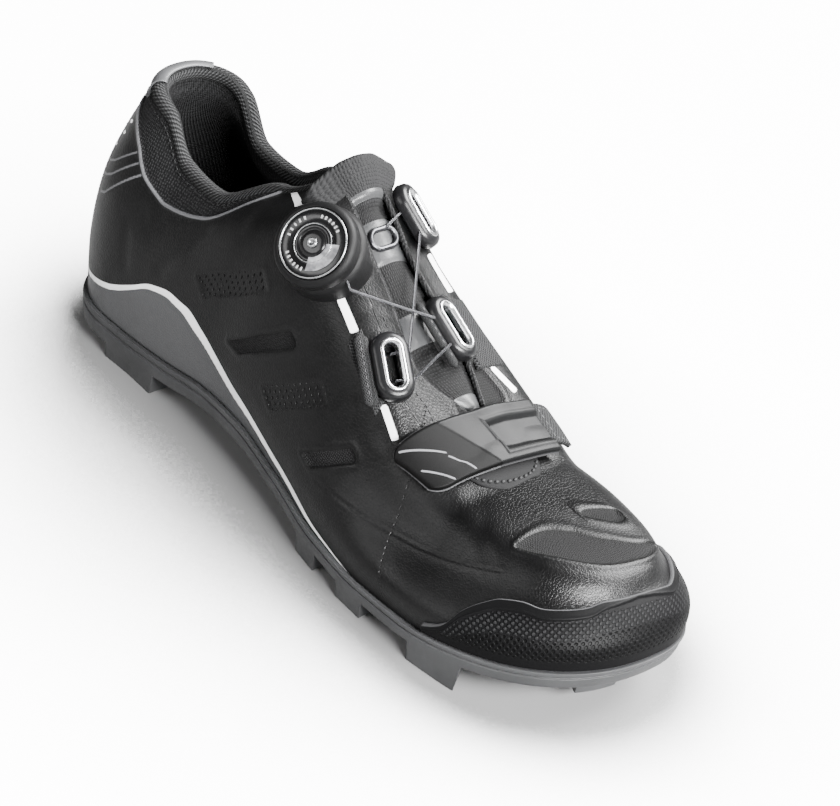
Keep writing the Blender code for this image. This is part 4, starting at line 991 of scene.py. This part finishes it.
# Three small reflective dots printed in relief on each side of the heel.
m = Net("white print", roughness=.35)
speck = m.node("TexNoise", 0, [], Vector=m.place(), Scale=900.0)
m.put(Base_Color=m.mix(speck, (.78, .78, .78), (.92, .92, .92)), Roughness=m.span(speck, .28, .42), Normal=m.bump(speck, .00002, .4))
white_print = m.material
DOT_PLACES, DOT_RADIUS = ((.081, .75), (.079, .676), (.073, .595)), .0008
points, faces = [], []
for u, t in [(s * u, t) for u, t in DOT_PLACES for s in (1, -1)]:
    centre, n = skin(u, t), outward(u, t)
    one = unit(np.cross(n, (0, 0, 1.0)))
    two = np.cross(n, one)
    first_point = len(points)
    for r, h in ((1.0, -.0002), (1.0, .0002), (.8, .0004), (.4, .00048)):
        points += [centre + n * h + (one * np.cos(q) + two * np.sin(q)) * r * DOT_RADIUS for q in np.arange(20) * np.pi / 10]
    faces += [[first_point + r * 20 + k, first_point + r * 20 + (k + 1) % 20, first_point + (r + 1) * 20 + (k + 1) % 20,
               first_point + (r + 1) * 20 + k] for r in range(3) for k in range(20)]
    faces += [[first_point + 60 + k for k in range(20)]]
piece("heel_dots", points, faces, white_print)


# The heel strip: a narrow ribbed rubber spine up the back, moulded and bonded on.
m = Net("heel rubber", roughness=.50, specular=.2)
shade = m.effect(grain_effect.tree, "Shade", Place=m.place())
m.put(Base_Color=m.mix(shade, (.003, .003, .0033), (.008, .008, .0085)), Roughness=m.span(shade, .42, .58),
      Normal=m.bump(m.effect(grain_effect.tree, Place=m.place(), Scale=1.5), .00005, .6))
def heel_ribs(us, t):
    return .00035 * np.sin(t * .085 / .0019 * 2 * np.pi)


strip_us = np.linspace(-.031, .031, 31)
strip_top = .70 - .10 * (strip_us / .031) ** 2
heel_strip = layer("heel_strip_rubber", strip_us, np.full(31, .012), strip_top, m.material, .0012, rows=200, lift=.0003, edge=.0010,
                   bulge=heel_ribs)
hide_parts("heel_strip")


# The dial: a base bonded over the eyestay, a rubber-rimmed knob that turns to wind the cable, a
# printed face plate with a silver crescent, and the screw that holds it together.
def frame_at(u, t):
    """A place on the upper with its normal, the direction to the toe and the one to the inner side."""
    normal = outward(u, t)
    along = (skin(u + .004, t) - skin(u - .004, t)) * (-1 if u > 1 else 1)
    along = unit(along - normal * np.dot(along, normal))
    return skin(u, t), normal, along, np.cross(normal, along)


DIAL_WAY, DIAL_HEIGHT, DIAL_RADIUS, DIAL_BASE, DIAL_KNOB = .441, .785, .0152, .0052, .0070
seat, up, forth, side_on = frame_at(DIAL_WAY, DIAL_HEIGHT)
up = sum(outward(DIAL_WAY, DIAL_HEIGHT + d) for d in (-.20, -.10, 0, .10))
up = unit(unit(up) * (.45, 1, 1))
forth = unit(forth - up * np.dot(forth, up))
side_on = np.cross(up, forth)


def turned(name, outline, material, segments=128, knurl=None, centre=None):
    """A turned piece on the dial's axis. outline is radius and height, from the bottom round to the top."""
    angles = np.arange(segments) * 2 * np.pi / segments
    spokes = np.cos(angles)[:, None] * forth + np.sin(angles)[:, None] * side_on
    outline = np.asarray(outline, float)
    radii = np.broadcast_to(outline[None, :, 0], (segments, len(outline))).copy()
    if knurl is not None:
        radii += knurl(angles[:, None], outline[None])
    points = (seat if centre is None else centre) + spokes[:, None] * radii[..., None] + up * outline[None, :, 1:]
    made = piece(name, points, grid_faces(segments, len(outline), wrap_rows=True), material)
    merge(made)
    return made


def arc_points(centre, radius, start, end, count=5):
    q = np.radians(np.linspace(start, end, count))
    return [(centre[0] + radius * np.cos(a), centre[1] + radius * np.sin(a)) for a in q]


m = Net("dial rubber", roughness=.55, specular=.16)
shade = m.effect(grain_effect.tree, "Shade", Place=m.place(), Scale=2.0)
m.put(Base_Color=m.mix(shade, (.0016, .0016, .0017), (.0034, .0034, .0036)), Roughness=m.span(shade, .45, .62),
      Normal=m.bump(m.effect(grain_effect.tree, Place=m.place(), Scale=2.0), .00005, .7))
dial_rubber = m.material
base_angles = np.arange(96) * 2 * np.pi / 96
near, far = np.zeros(96), np.full(96, .3)
for _ in range(16):
    k = (near + far) / 2
    t = np.minimum(DIAL_HEIGHT + k * 1.6 * np.sin(base_angles), .985)
    short = np.linalg.norm(skin(DIAL_WAY + k * np.cos(base_angles) * .5, t) - seat, axis=-1) < DIAL_RADIUS + .0018
    near, far = np.where(short, k, near), np.where(short, far, k)
foot = skin(DIAL_WAY + k * np.cos(base_angles) * .5, t) + outward(DIAL_WAY + k * np.cos(base_angles) * .5, t) * .0002
toward = foot - seat
toward -= up * (toward @ up)[:, None]
toward = unit(toward) * DIAL_RADIUS
rings = [foot] + [seat + toward * r + up * h for r, h in ((1.05, .0022), (1.02, .0036), (.97, .0048), (.92, DIAL_BASE), (0, DIAL_BASE))]
base = piece("dial_base_moulding", np.stack(rings, 1), grid_faces(96, 6, wrap_rows=True), dial_rubber)
merge(base)
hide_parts("dial_base")
h0, h1 = DIAL_BASE + GAP, DIAL_BASE + GAP + DIAL_KNOB
knob_outline = ([(.0, h0), (DIAL_RADIUS * .9, h0), (DIAL_RADIUS - .0004, h0 + .0006), (DIAL_RADIUS, h0 + .0018), (DIAL_RADIUS, h1 - .0030)]
                + arc_points((DIAL_RADIUS - .0026, h1 - .0026), .0026, 0, 90, 7)
                + [(.0128, h1 - .0001), (.0124, h1 - .0005), (.0123, h1 - .0014), (0, h1 - .0014)])
knob = turned("dial_knob_ring", knob_outline, dial_rubber, 160)
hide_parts("dial_knob")
m = Net("dial face", roughness=.24, specular=.35, colour=(.003, .003, .0032))
swirl = m.node("TexNoise", 0, [], Vector=m.place(), Scale=1200.0)
m.put(Roughness=m.span(swirl, .16, .30), Normal=m.bump(swirl, .00001, .4))
dial_gloss = m.material
m = Net("bright metal", roughness=.22, metallic=1.0)
swirl = m.node("TexNoise", 0, [], Vector=m.place(), Scale=1500.0, Detail=4.0)
m.put(Base_Color=m.mix(swirl, (.24, .245, .25), (.42, .425, .43)), Roughness=m.span(swirl, .20, .36), Normal=m.bump(swirl, .00001, .5))
bright_metal = m.material
face_plate = turned("dial_face", [(0, h1 - .0009), (.0120, h1 - .0009), (.0120, h1 - .0002), (.0117, h1), (.0100, h1 + .00015), (.0078, h1 + .0002),
                                  (.0074, h1 - .0002), (.0070, h1 - .0002), (.0067, h1 + .0003), (.0052, h1 + .0004), (.0050, h1),
                                  (.0046, h1), (.0044, h1 + .0004), (.0030, h1 + .0005), (0, h1 + .0005)], dial_gloss, 128)
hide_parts("dial_cap")
for name, outline in (("dial_rim_ring", [(.0118, h1 - .0004), (.0124, h1 - .0004), (.0124, h1 + .0002), (.0121, h1 + .0004), (.0118, h1 + .0002)]),
                      ("dial_inner_ring", [(.0066, h1 + .0001), (.0070, h1 + .0001), (.0070, h1 + .0004), (.0068, h1 + .0005), (.0066, h1 + .0004)]),
                      ("dial_screw", [(0, h1 + .0002), (.0018, h1 + .0002), (.0018, h1 + .0011), (.0015, h1 + .0014), (.0009, h1 + .0014),
                                      (.0008, h1 + .0009), (0, h1 + .0009)])):
    ring = turned(name, outline + ([outline[0]] if outline[0][0] else []), bright_metal, 96)


def plate_of(name, outlines, height, thick, material):
    """Flat pieces on the dial's face, each an outline of radius and angle in degrees, joined in one object."""
    work = bmesh.new()
    for outline in outlines:
        flat = [seat + up * height + r * (np.cos(q) * forth + np.sin(q) * side_on) for r, q in outline]
        face = work.faces.new([work.verts.new(p) for p in flat])
        raised = bmesh.ops.extrude_face_region(work, geom=[face])
        bmesh.ops.translate(work, vec=up * thick, verts=[v for v in raised["geom"] if isinstance(v, bmesh.types.BMVert)])
    bmesh.ops.recalc_face_normals(work, faces=work.faces)
    mesh = bpy.data.meshes.new(name)
    work.to_mesh(mesh)
    work.free()
    made = bpy.data.objects.new(name, mesh)
    bpy.context.collection.objects.link(made)
    mesh.materials.append(material)
    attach(made, "root")
    return made


def ring_piece(r0, r1, a, b, count=24):
    q = np.radians(np.linspace(a, b, count))
    return [(r1, x) for x in q] + [(r0, x) for x in q[::-1]]


m = Net("brushed crescent", roughness=.32, metallic=1.0)
brush = m.node("TexNoise", 0, [], Vector=m.place(), Scale=260.0, Detail=6.0)
m.put(Base_Color=m.mix(m.step(brush, .35, .65), (.10, .10, .105), (.34, .34, .35)), Roughness=m.span(brush, .25, .45),
      Normal=m.bump(brush, .00002, .6))
crescent_metal = m.material
plate_of("dial_crescent", [ring_piece(.0050, .0098, -38, 58, 40)], h1 + .0003, .00012, crescent_metal)
m = Net("printed white", roughness=.4, colour=(.75, .75, .75))
speck = m.node("TexNoise", 0, [], Vector=m.place(), Scale=900.0)
m.put(Base_Color=m.mix(speck, (.20, .20, .20), (.42, .42, .42)), Roughness=m.span(speck, .32, .50), Normal=m.bump(speck, .00002, .5))
ticks = [ring_piece(.0089, .0101, a - 1.9, a + 1.9, 3) for a in [*range(88, 148, 10), *range(176, 236, 12), *range(262, 316, 10)]]
plate_of("dial_ticks", ticks, h1 + .00012, .00012, m.material)


# The cable guides: black oval hoops with bright rims, stood on the edges of the throat and held by
# loops of webbing sewn to the upper.
GUIDE_LONG, GUIDE_WIDE, GUIDE_TALL = .0220, .0110, .0046
GUIDES = {"guide_lateral": (.567, .835, -18.0, 0), "guide_medial": (1.446, .965, 0.0, .0070), "guide_top": (1.560, .855, 12.0, 0)}
m = Net("guide plastic", roughness=.28, specular=.28)
swirl = m.node("TexNoise", 0, [], Vector=m.place(), Scale=700.0, Detail=3.0)
m.put(Base_Color=m.mix(swirl, (.003, .003, .0033), (.006, .006, .0065)), Roughness=m.span(swirl, .24, .38), Normal=m.bump(swirl, .00002, .5))
guide_black = m.material


def oval(name, frame, outline, bend, material, count=96):
    """An oval hoop: its section is given by the distance out from the slot's edge and the height."""
    origin, n, a, c = frame
    q = np.arange(count) * 2 * np.pi / count
    straight = (GUIDE_LONG - GUIDE_WIDE) / 2
    points = []
    for out, h in outline:
        r = GUIDE_WIDE / 2 + out
        x = np.sign(np.cos(q)) * straight + r * np.cos(q)
        y = r * np.sin(q)
        points.append(origin + a * x[:, None] + c * y[:, None] + n * (h - bend * y ** 2)[:, None])
    points = np.stack(points, 1)
    made = piece(name, points, grid_faces(count, len(outline), wrap_rows=True, wrap_columns=True), material)
    merge(made)
    return made


m = Net("polished metal", roughness=.20, metallic=1.0)
swirl = m.node("TexNoise", 0, [], Vector=m.place(), Scale=1500.0, Detail=4.0)
m.put(Base_Color=m.mix(swirl, (.62, .63, .64), (.80, .80, .81)), Roughness=m.span(swirl, .18, .32), Normal=m.bump(swirl, .00001, .5))
polished_metal = m.material
guide_frames = {}
low = SEAT + .0002
for name, (u, t, angle, hang) in GUIDES.items():
    origin, n, a, c = frame_at(u, t)
    origin = origin - c * hang
    ca, sa = np.cos(np.radians(angle)), np.sin(np.radians(angle))
    guide_frames[name] = (origin, n, a * ca + c * sa, c * ca - a * sa)
    hoop = oval(name + "_hoop", guide_frames[name],
                [(-.0030, low), (.0012, low), (.0016, low + .0008), (.0012, low + .0032), (.0005, low + .0042), (-.0008, low + .0046),
                 (-.0020, low + .0046), (-.0028, low + .0042), (-.0032, low + .0034), (-.0032, low + .0008)], 8, guide_black)
    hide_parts(name)
    oval(name + "_rim", guide_frames[name],
         [(-.0035, low + .0024), (-.0030, low + .0042), (-.0024, low + .0051), (-.0017, low + .0052), (-.0013, low + .0047), (-.0018, low + .0040),
          (-.0028, low + .0024)], 8, polished_metal)
m = Net("sewn webbing", roughness=.9, specular=.25)
lay = m.lay("across", "upward")
twill = m.effect(rib_effect.tree, Place=lay, Pitch=.0012, Slant=1.0)
twill_back = m.effect(rib_effect.tree, Place=lay, Pitch=.0012, Slant=-1.0)
weave = m.math("MAXIMUM", twill, twill_back)
m.put(Base_Color=m.mix(m.step(weave, -.1, .6), (.002, .002, .0022), (.026, .0265, .027)),
      Roughness=m.span(weave, .95, .75), Normal=m.bump(weave, .0004, 1.0))
webbing_cloth = m.material
for name, half_long, across_at, half_wide, half_high, rise in (
        ("guide_lateral", .0128, -.0088, .0026, .0017, .0014), ("guide_medial", .0128, -.0076, .0015, .0016, .0016),
        ("guide_medial", .0128, .0086, .0024, .0016, .0006)):
    origin, n, a, c = guide_frames[name]
    x = np.linspace(-half_long, half_long, 48)
    path = origin + a * x[:, None] + c * across_at + n * (rise - 8 * across_at ** 2)
    taper = np.clip((1 - np.abs(x) / half_long) / .12, .25, 1) ** .5
    side_name = "inner" if across_at > 0 else "outer"
    sleeve = tube(name + "_sleeve_" + side_name, path, np.tile(n, (48, 1)), half_high * taper, half_wide * taper, webbing_cloth, 16)
    edge = path + n * half_high * .93 + c * half_wide * (.30 if across_at > 0 else -.30)
    stitches(name + "_stitches_" + side_name, [edge[3:-3]], [n], .0016, .0010, .0003, grey_thread)
for name, us, lows, highs in (("webbing_lateral", np.linspace(.518, .586, 40), np.linspace(.690, .640, 40), np.linspace(.785, .73, 40)),
                              ("webbing_medial", np.linspace(1.402, 1.476, 40), np.full(40, .80), np.full(40, .985))):
    strip = layer(name + "_loop", us, lows, highs, webbing_cloth, .0012, rows=18, lift=.0002)
    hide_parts(name)


# The strap: webbing that crosses the toes under a moulded satin plate with a sunk pocket and a
# slanting black band, sewn down at the inner side, with a serrated keeper tongue under its front.
def arch(along, across):
    """A place over the foot: across runs from -1, the outer sole edge, to 1, the inner one, by length."""
    t = np.linspace(0, 1, 17)
    path = np.concatenate([skin(way(along, -1), t), skin(way(along, 1), t[::-1])])
    far = np.concatenate([[0], np.cumsum(np.linalg.norm(np.diff(path, axis=0), axis=1))])
    middle = (far[16] + far[17]) / 2
    at = middle * (1 + across) if across < 0 else middle + (far[-1] - middle) * across
    return np.array([np.interp(at, far, path[:, k]) for k in range(3)])


STRAP_LINES, STRAP_ENDS, PLATE_END = ((.652, .706), (.676, .728)), (-.475, .41), .233
STRAP_THICK, PLATE_THICK, STRAP_LIFT = .0018, .0030, .0013
strap_across = np.linspace(-.475, .41, 70)
strap_rows = []
for across in strap_across:
    k = (across - STRAP_ENDS[0]) / (STRAP_ENDS[1] - STRAP_ENDS[0])
    start, end = (STRAP_LINES[0][i] * (1 - k) + STRAP_LINES[1][i] * k for i in (0, 1))
    strap_rows.append([arch(a, across) for a in np.linspace(start, end, 9)])
strap_rows = spread(np.array(strap_rows), 33, 1)
for _ in range(8):      # the band bridges the small hollows of the skin
    strap_rows[1:-1] = strap_rows[1:-1] * .5 + (strap_rows[:-2] + strap_rows[2:]) * .25
strap_normal = unit(np.cross(np.gradient(strap_rows, axis=1), np.gradient(strap_rows, axis=0)))
strap_normal *= np.sign(strap_normal[..., 2].mean())
strap_k = np.linspace(-1, 1, 33)[None, :]


def slab(name, rows, normals, base, top, material, fields=()):
    """A slab over a grid of places, from a base height to a top height along its normals."""
    shape = rows.shape[:2]
    high = rows + normals * np.broadcast_to(top, shape)[..., None]
    low = rows + normals * np.broadcast_to(base, shape)[..., None]
    count = shape[0] * shape[1]
    grid = grid_faces(*shape)
    rim = ([i * shape[1] for i in range(shape[0])] + [(shape[0] - 1) * shape[1] + j for j in range(1, shape[1])]
           + [i * shape[1] + shape[1] - 1 for i in range(shape[0] - 2, -1, -1)] + list(range(shape[1] - 2, 0, -1)))
    faces = grid + [[count + i for i in f[::-1]] for f in grid] + [[a, b, count + b, count + a] for a, b in zip(rim, rim[1:] + rim[:1])]
    made = piece(name, np.concatenate([high.reshape(-1, 3), low.reshape(-1, 3)]), faces, material)
    far = np.cumsum(np.linalg.norm(np.gradient(rows, axis=0), axis=-1), 0)
    over = np.cumsum(np.linalg.norm(np.gradient(rows, axis=1), axis=-1), 1)
    for title, values in (("across", over), ("upward", far)) + tuple(fields):
        twice = np.concatenate([np.broadcast_to(values, shape).ravel()] * 2)
        made.data.attributes.new(title, "FLOAT", "POINT").data.foreach_set("value", twice.astype(np.float32))
    merge(made)
    return made


plate_rows = int(np.searchsorted(strap_across, PLATE_END))
PLATE_FORWARD = .0056      # how far the plate reaches past the webbing towards the toe
reach_out = unit(strap_rows[:plate_rows, -1:] - strap_rows[:plate_rows, :1])
plate_sheet = strap_rows[:plate_rows] + reach_out * (PLATE_FORWARD * (strap_k[0] + .75) / 1.75)[None, :, None]
plate_sheet = spread(spread(plate_sheet, 170, 0), 73, 1)
plate_k, along_k = np.linspace(-1, 1, 73)[None, :], np.linspace(0, 1, 170)[:, None]
tip = np.clip(1 - along_k[:, 0] / .12, 0, 1)
corners = 1 - .38 * tip ** 3
middle = plate_sheet[:, 36:37]
plate_sheet = middle + (plate_sheet - middle) * corners[:, None, None]
plate_up = unit(np.cross(np.gradient(plate_sheet, axis=1), np.gradient(plate_sheet, axis=0)))
plate_up *= np.sign(plate_up[..., 2].mean())
hook_rows = []
for across in np.linspace(-.29, .13, 40):
    k = (across - STRAP_ENDS[0]) / (STRAP_ENDS[1] - STRAP_ENDS[0])
    front = STRAP_LINES[0][1] * (1 - k) + STRAP_LINES[1][1] * k
    bulge = .052 * np.sqrt(max(0, 1 - ((across + .08) / .215) ** 2))
    hook_rows.append([arch(a, across) for a in np.linspace(front - .03, front + bulge, 14)])
hook_rows = np.array(hook_rows)
hook_up = unit(np.cross(np.gradient(hook_rows, axis=1), np.gradient(hook_rows, axis=0)))
hook_up *= np.sign(hook_up[..., 2].mean())
hook_top = hook_rows + hook_up * (np.minimum(1, np.linspace(1.6, 0, 14)) ** .5 * .0011 + .0002)[None, :, None]
hook_grid = grid_faces(40, 14)
hook_rim = ([i * 14 for i in range(40)] + [39 * 14 + j for j in range(1, 14)] + [i * 14 + 13 for i in range(38, -1, -1)]
            + list(range(12, 0, -1)))
m = Net("black felt", roughness=.8, specular=.2)
nap = m.node("TexNoise", 0, [], Vector=m.place(), Scale=1800.0, Detail=4.0)
m.put(Base_Color=m.mix(nap, (.0015, .0015, .0016), (.005, .005, .0053)), Roughness=m.span(nap, .7, .9), Normal=m.bump(nap, .0001, .7))
hook = piece("strap_under_tab", np.concatenate([hook_top.reshape(-1, 3), (hook_rows - hook_up * .0004).reshape(-1, 3)]),
             hook_grid + [[560 + i for i in f[::-1]] for f in hook_grid]
             + [[a, b, 560 + b, 560 + a] for a, b in zip(hook_rim, hook_rim[1:] + hook_rim[:1])], m.material)
merge(hook)
hem = hook_top[2:-2, -3]
stitches("strap_under_stitches", [hem], [hook_up[2:-2, -3]], .0016, .0008, .0006, black_thread, sunk=-.0001)
strap = slab("strap_webbing", strap_rows[6:], strap_normal[6:], STRAP_LIFT, STRAP_LIFT + STRAP_THICK, webbing_cloth)
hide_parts("strap")
strap_face = strap_rows + strap_normal * (STRAP_LIFT + STRAP_THICK)
sewn = [strap_face[60:69, 3], strap_face[60:69, 29], strap_face[60, 3:30], strap_face[68, 3:30]]
stitches("strap_anchor_stitches", sewn, [strap_normal[64, 16]] * 4, .0017, .0009, .0003, grey_thread)
round_corner = np.minimum(1, np.minimum((1 - np.abs(plate_k)) / .10, np.minimum(along_k / .03, (1 - along_k) / .02)))
dome = np.sqrt(np.clip(1 - (1 - np.clip(round_corner, 0, 1)) ** 2, 0, 1))
pocket_edge = np.minimum(np.minimum(along_k - .56, 1.1 - along_k) * .075, np.minimum(plate_k + .50, .62 - plate_k) * .0085)
slant = along_k - plate_k * .09
plate_top = STRAP_LIFT + STRAP_THICK + .0002 + PLATE_THICK * dome - .0011 * ramp(pocket_edge, 0, .0012) + .0003 * np.exp(-((pocket_edge + .0007) / .0006) ** 2)
plate_top = plate_top - .0003 * ramp(.38 - slant, 0, .008)
m = Net("satin plate", roughness=.44, specular=.10)
shade = m.effect(grain_effect.tree, "Shade", Place=m.place(), Scale=2.0)
dark_tip = m.step(m.field("slant"), .385, .375)
light_lines = m.math("MULTIPLY", dark_tip, m.step(m.field("line"), .00045, .0002))
colour = m.mix(shade, (.0032, .0033, .0034), (.0056, .0057, .0059))
colour = m.mix(dark_tip, colour, (.0002, .0002, .0002))
# A pale band along the plate's rounded rim: a painted highlight.
colour = m.mix(m.step(m.field("rim"), .22, .05), colour, (.05, .05, .052))
m.put(Base_Color=m.mix(light_lines, colour, (.12, .12, .125)), Roughness=m.blend(dark_tip, m.span(shade, .32, .46), .62),
      Normal=m.bump(m.effect(grain_effect.tree, Place=m.place(), Scale=2.0), .00004, .6))
PLATE_LONG, PLATE_HALF = .066, .0095
line_field = np.full((170, 73), .02)
for (k0, s0), (k1, s1) in (((.06, -.80), (.20, -.02)), ((.05, .10), (.13, .86)), ((.20, .14), (.28, .84))):
    p, q = np.array((k0 * PLATE_LONG, s0 * PLATE_HALF)), np.array((k1 * PLATE_LONG, s1 * PLATE_HALF))
    at = np.stack(np.broadcast_arrays(along_k * PLATE_LONG, plate_k * PLATE_HALF), -1)
    k = np.clip(((at - p) @ (q - p)) / ((q - p) @ (q - p)), 0, 1)
    line_field = np.minimum(line_field, np.linalg.norm(at - p - k[..., None] * (q - p), axis=-1))
# The rim field carries the plate's painted highlight along its edge.
plate = slab("strap_plate_moulding", plate_sheet, plate_up, STRAP_LIFT + STRAP_THICK + .0001, plate_top, m.material,
             (("slant", slant), ("rim", round_corner), ("line", line_field)))
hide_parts("strap_plate")


# The cable: one thin steel rope from the dial through the guides and the tongue's keeper, so that
# the runs between the guides pull the throat shut.
CABLE = .0012
m = Net("steel cable", roughness=.30, metallic=1.0)
lay = m.lay("across", "upward")
strands = m.effect(rib_effect.tree, Place=lay, Pitch=.0011, Slant=1.3)
m.put(Base_Color=m.mix(strands, (.05, .05, .053), (.18, .18, .19)), Roughness=m.span(strands, .42, .24),
      Normal=m.bump(strands, .00012, .9))
cable_steel = m.material


def beside(name, forward, across, height=.0034):
    origin, n, a, c = guide_frames[name]
    return origin + a * forward + c * across + n * height


def run_between(start, end, bow=0.0, count=14):
    k = np.linspace(0, 1, count)[:, None]
    return start * (1 - k) + end * k + np.array([.25, 0, 1.0]) * bow * 4 * k * (1 - k)


clear = GUIDE_WIDE / 2 + CABLE / 2 + GAP + .0004
top_out, lateral_in = beside("guide_top", GUIDE_LONG * .25, -clear), beside("guide_lateral", -GUIDE_LONG * .25, clear)
dial_out = seat + forth * (DIAL_RADIUS + .0026) + side_on * .004 + up * .0042
medial_in = beside("guide_medial", -GUIDE_LONG * .25, -clear)
inside_top, inside_lateral = beside("guide_top", GUIDE_LONG * .20, 0, .0030), beside("guide_lateral", -GUIDE_LONG * .20, 0, .0030)
cross_one = np.concatenate([run_between(inside_top, top_out, 0, 4)[:-1], run_between(top_out, lateral_in, .0003), run_between(lateral_in, inside_lateral, 0, 4)[1:]])
cross_two = np.concatenate([run_between(seat + forth * DIAL_RADIUS * .8 + side_on * .004 + up * .0040, dial_out, 0, 4)[:-1],
                            run_between(dial_out, medial_in, -.0003), run_between(medial_in, beside("guide_medial", -GUIDE_LONG * .2, 0, .0030), 0, 4)[1:]])
bar_ends = beside("guide_lateral", GUIDE_LONG * .24, clear), beside("guide_medial", GUIDE_LONG * .24, -clear)
bar = np.concatenate([run_between(beside("guide_lateral", GUIDE_LONG * .24, 0, .0030), bar_ends[0], 0, 4)[:-1], run_between(*bar_ends, .0008),
                      run_between(bar_ends[1], beside("guide_medial", GUIDE_LONG * .24, 0, .0030), 0, 4)[1:]])
for name, path, node in (("cable_crossing_a", cross_one, "cable_cross"), ("cable_crossing_b", cross_two, None), ("cable_toe_bar", bar, "cable_bar")):
    rope = tube(name, path, np.tile([0.1, 0, 1.0], (len(path), 1)), CABLE * .42, CABLE * .42, cable_steel, 10)
    if node:
        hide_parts(node)

# The keeper: a small dark metal loop sewn to the tongue, which the cable passes on its way back.
on_tongue = tongue_section(.470)[4]
slope = unit(tongue_section(.480)[4] - tongue_section(.460)[4])
keeper_up = np.cross(slope, (0, 1.0, 0))
m = Net("keeper metal", roughness=.3, metallic=.9)
swirl = m.node("TexNoise", 0, [], Vector=m.place(), Scale=900.0)
m.put(Base_Color=m.mix(swirl, (.03, .03, .033), (.08, .08, .085)), Roughness=m.span(swirl, .2, .4),
      Normal=m.bump(swirl, .00001, .5))
keeper_q = np.linspace(0, 2 * np.pi, 60, endpoint=False)
keeper_path = np.array([on_tongue + keeper_up * .0006 + np.array((0, 1.0, 0)) * (np.sign(np.cos(q)) * .00225 + .0034 * np.cos(q)) - slope * .0034 * np.sin(q)
                        for q in keeper_q])
keeper_path = np.concatenate([keeper_path, keeper_path[:1]])
keeper = tube("tongue_keeper_loop", keeper_path, np.tile(keeper_up, (61, 1)), .0009, .0010, m.material, 12, closed_ends=False)
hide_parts("tongue_keeper")
back_run = run_between(beside("guide_top", -GUIDE_LONG * .22, 0, .0030), keeper_path[15] + keeper_up * .0012, .0004, 16)
back_cable = tube("cable_back", back_run, np.tile([0.1, 0, 1.0], (16, 1)), CABLE * .42, CABLE * .42, cable_steel, 10)
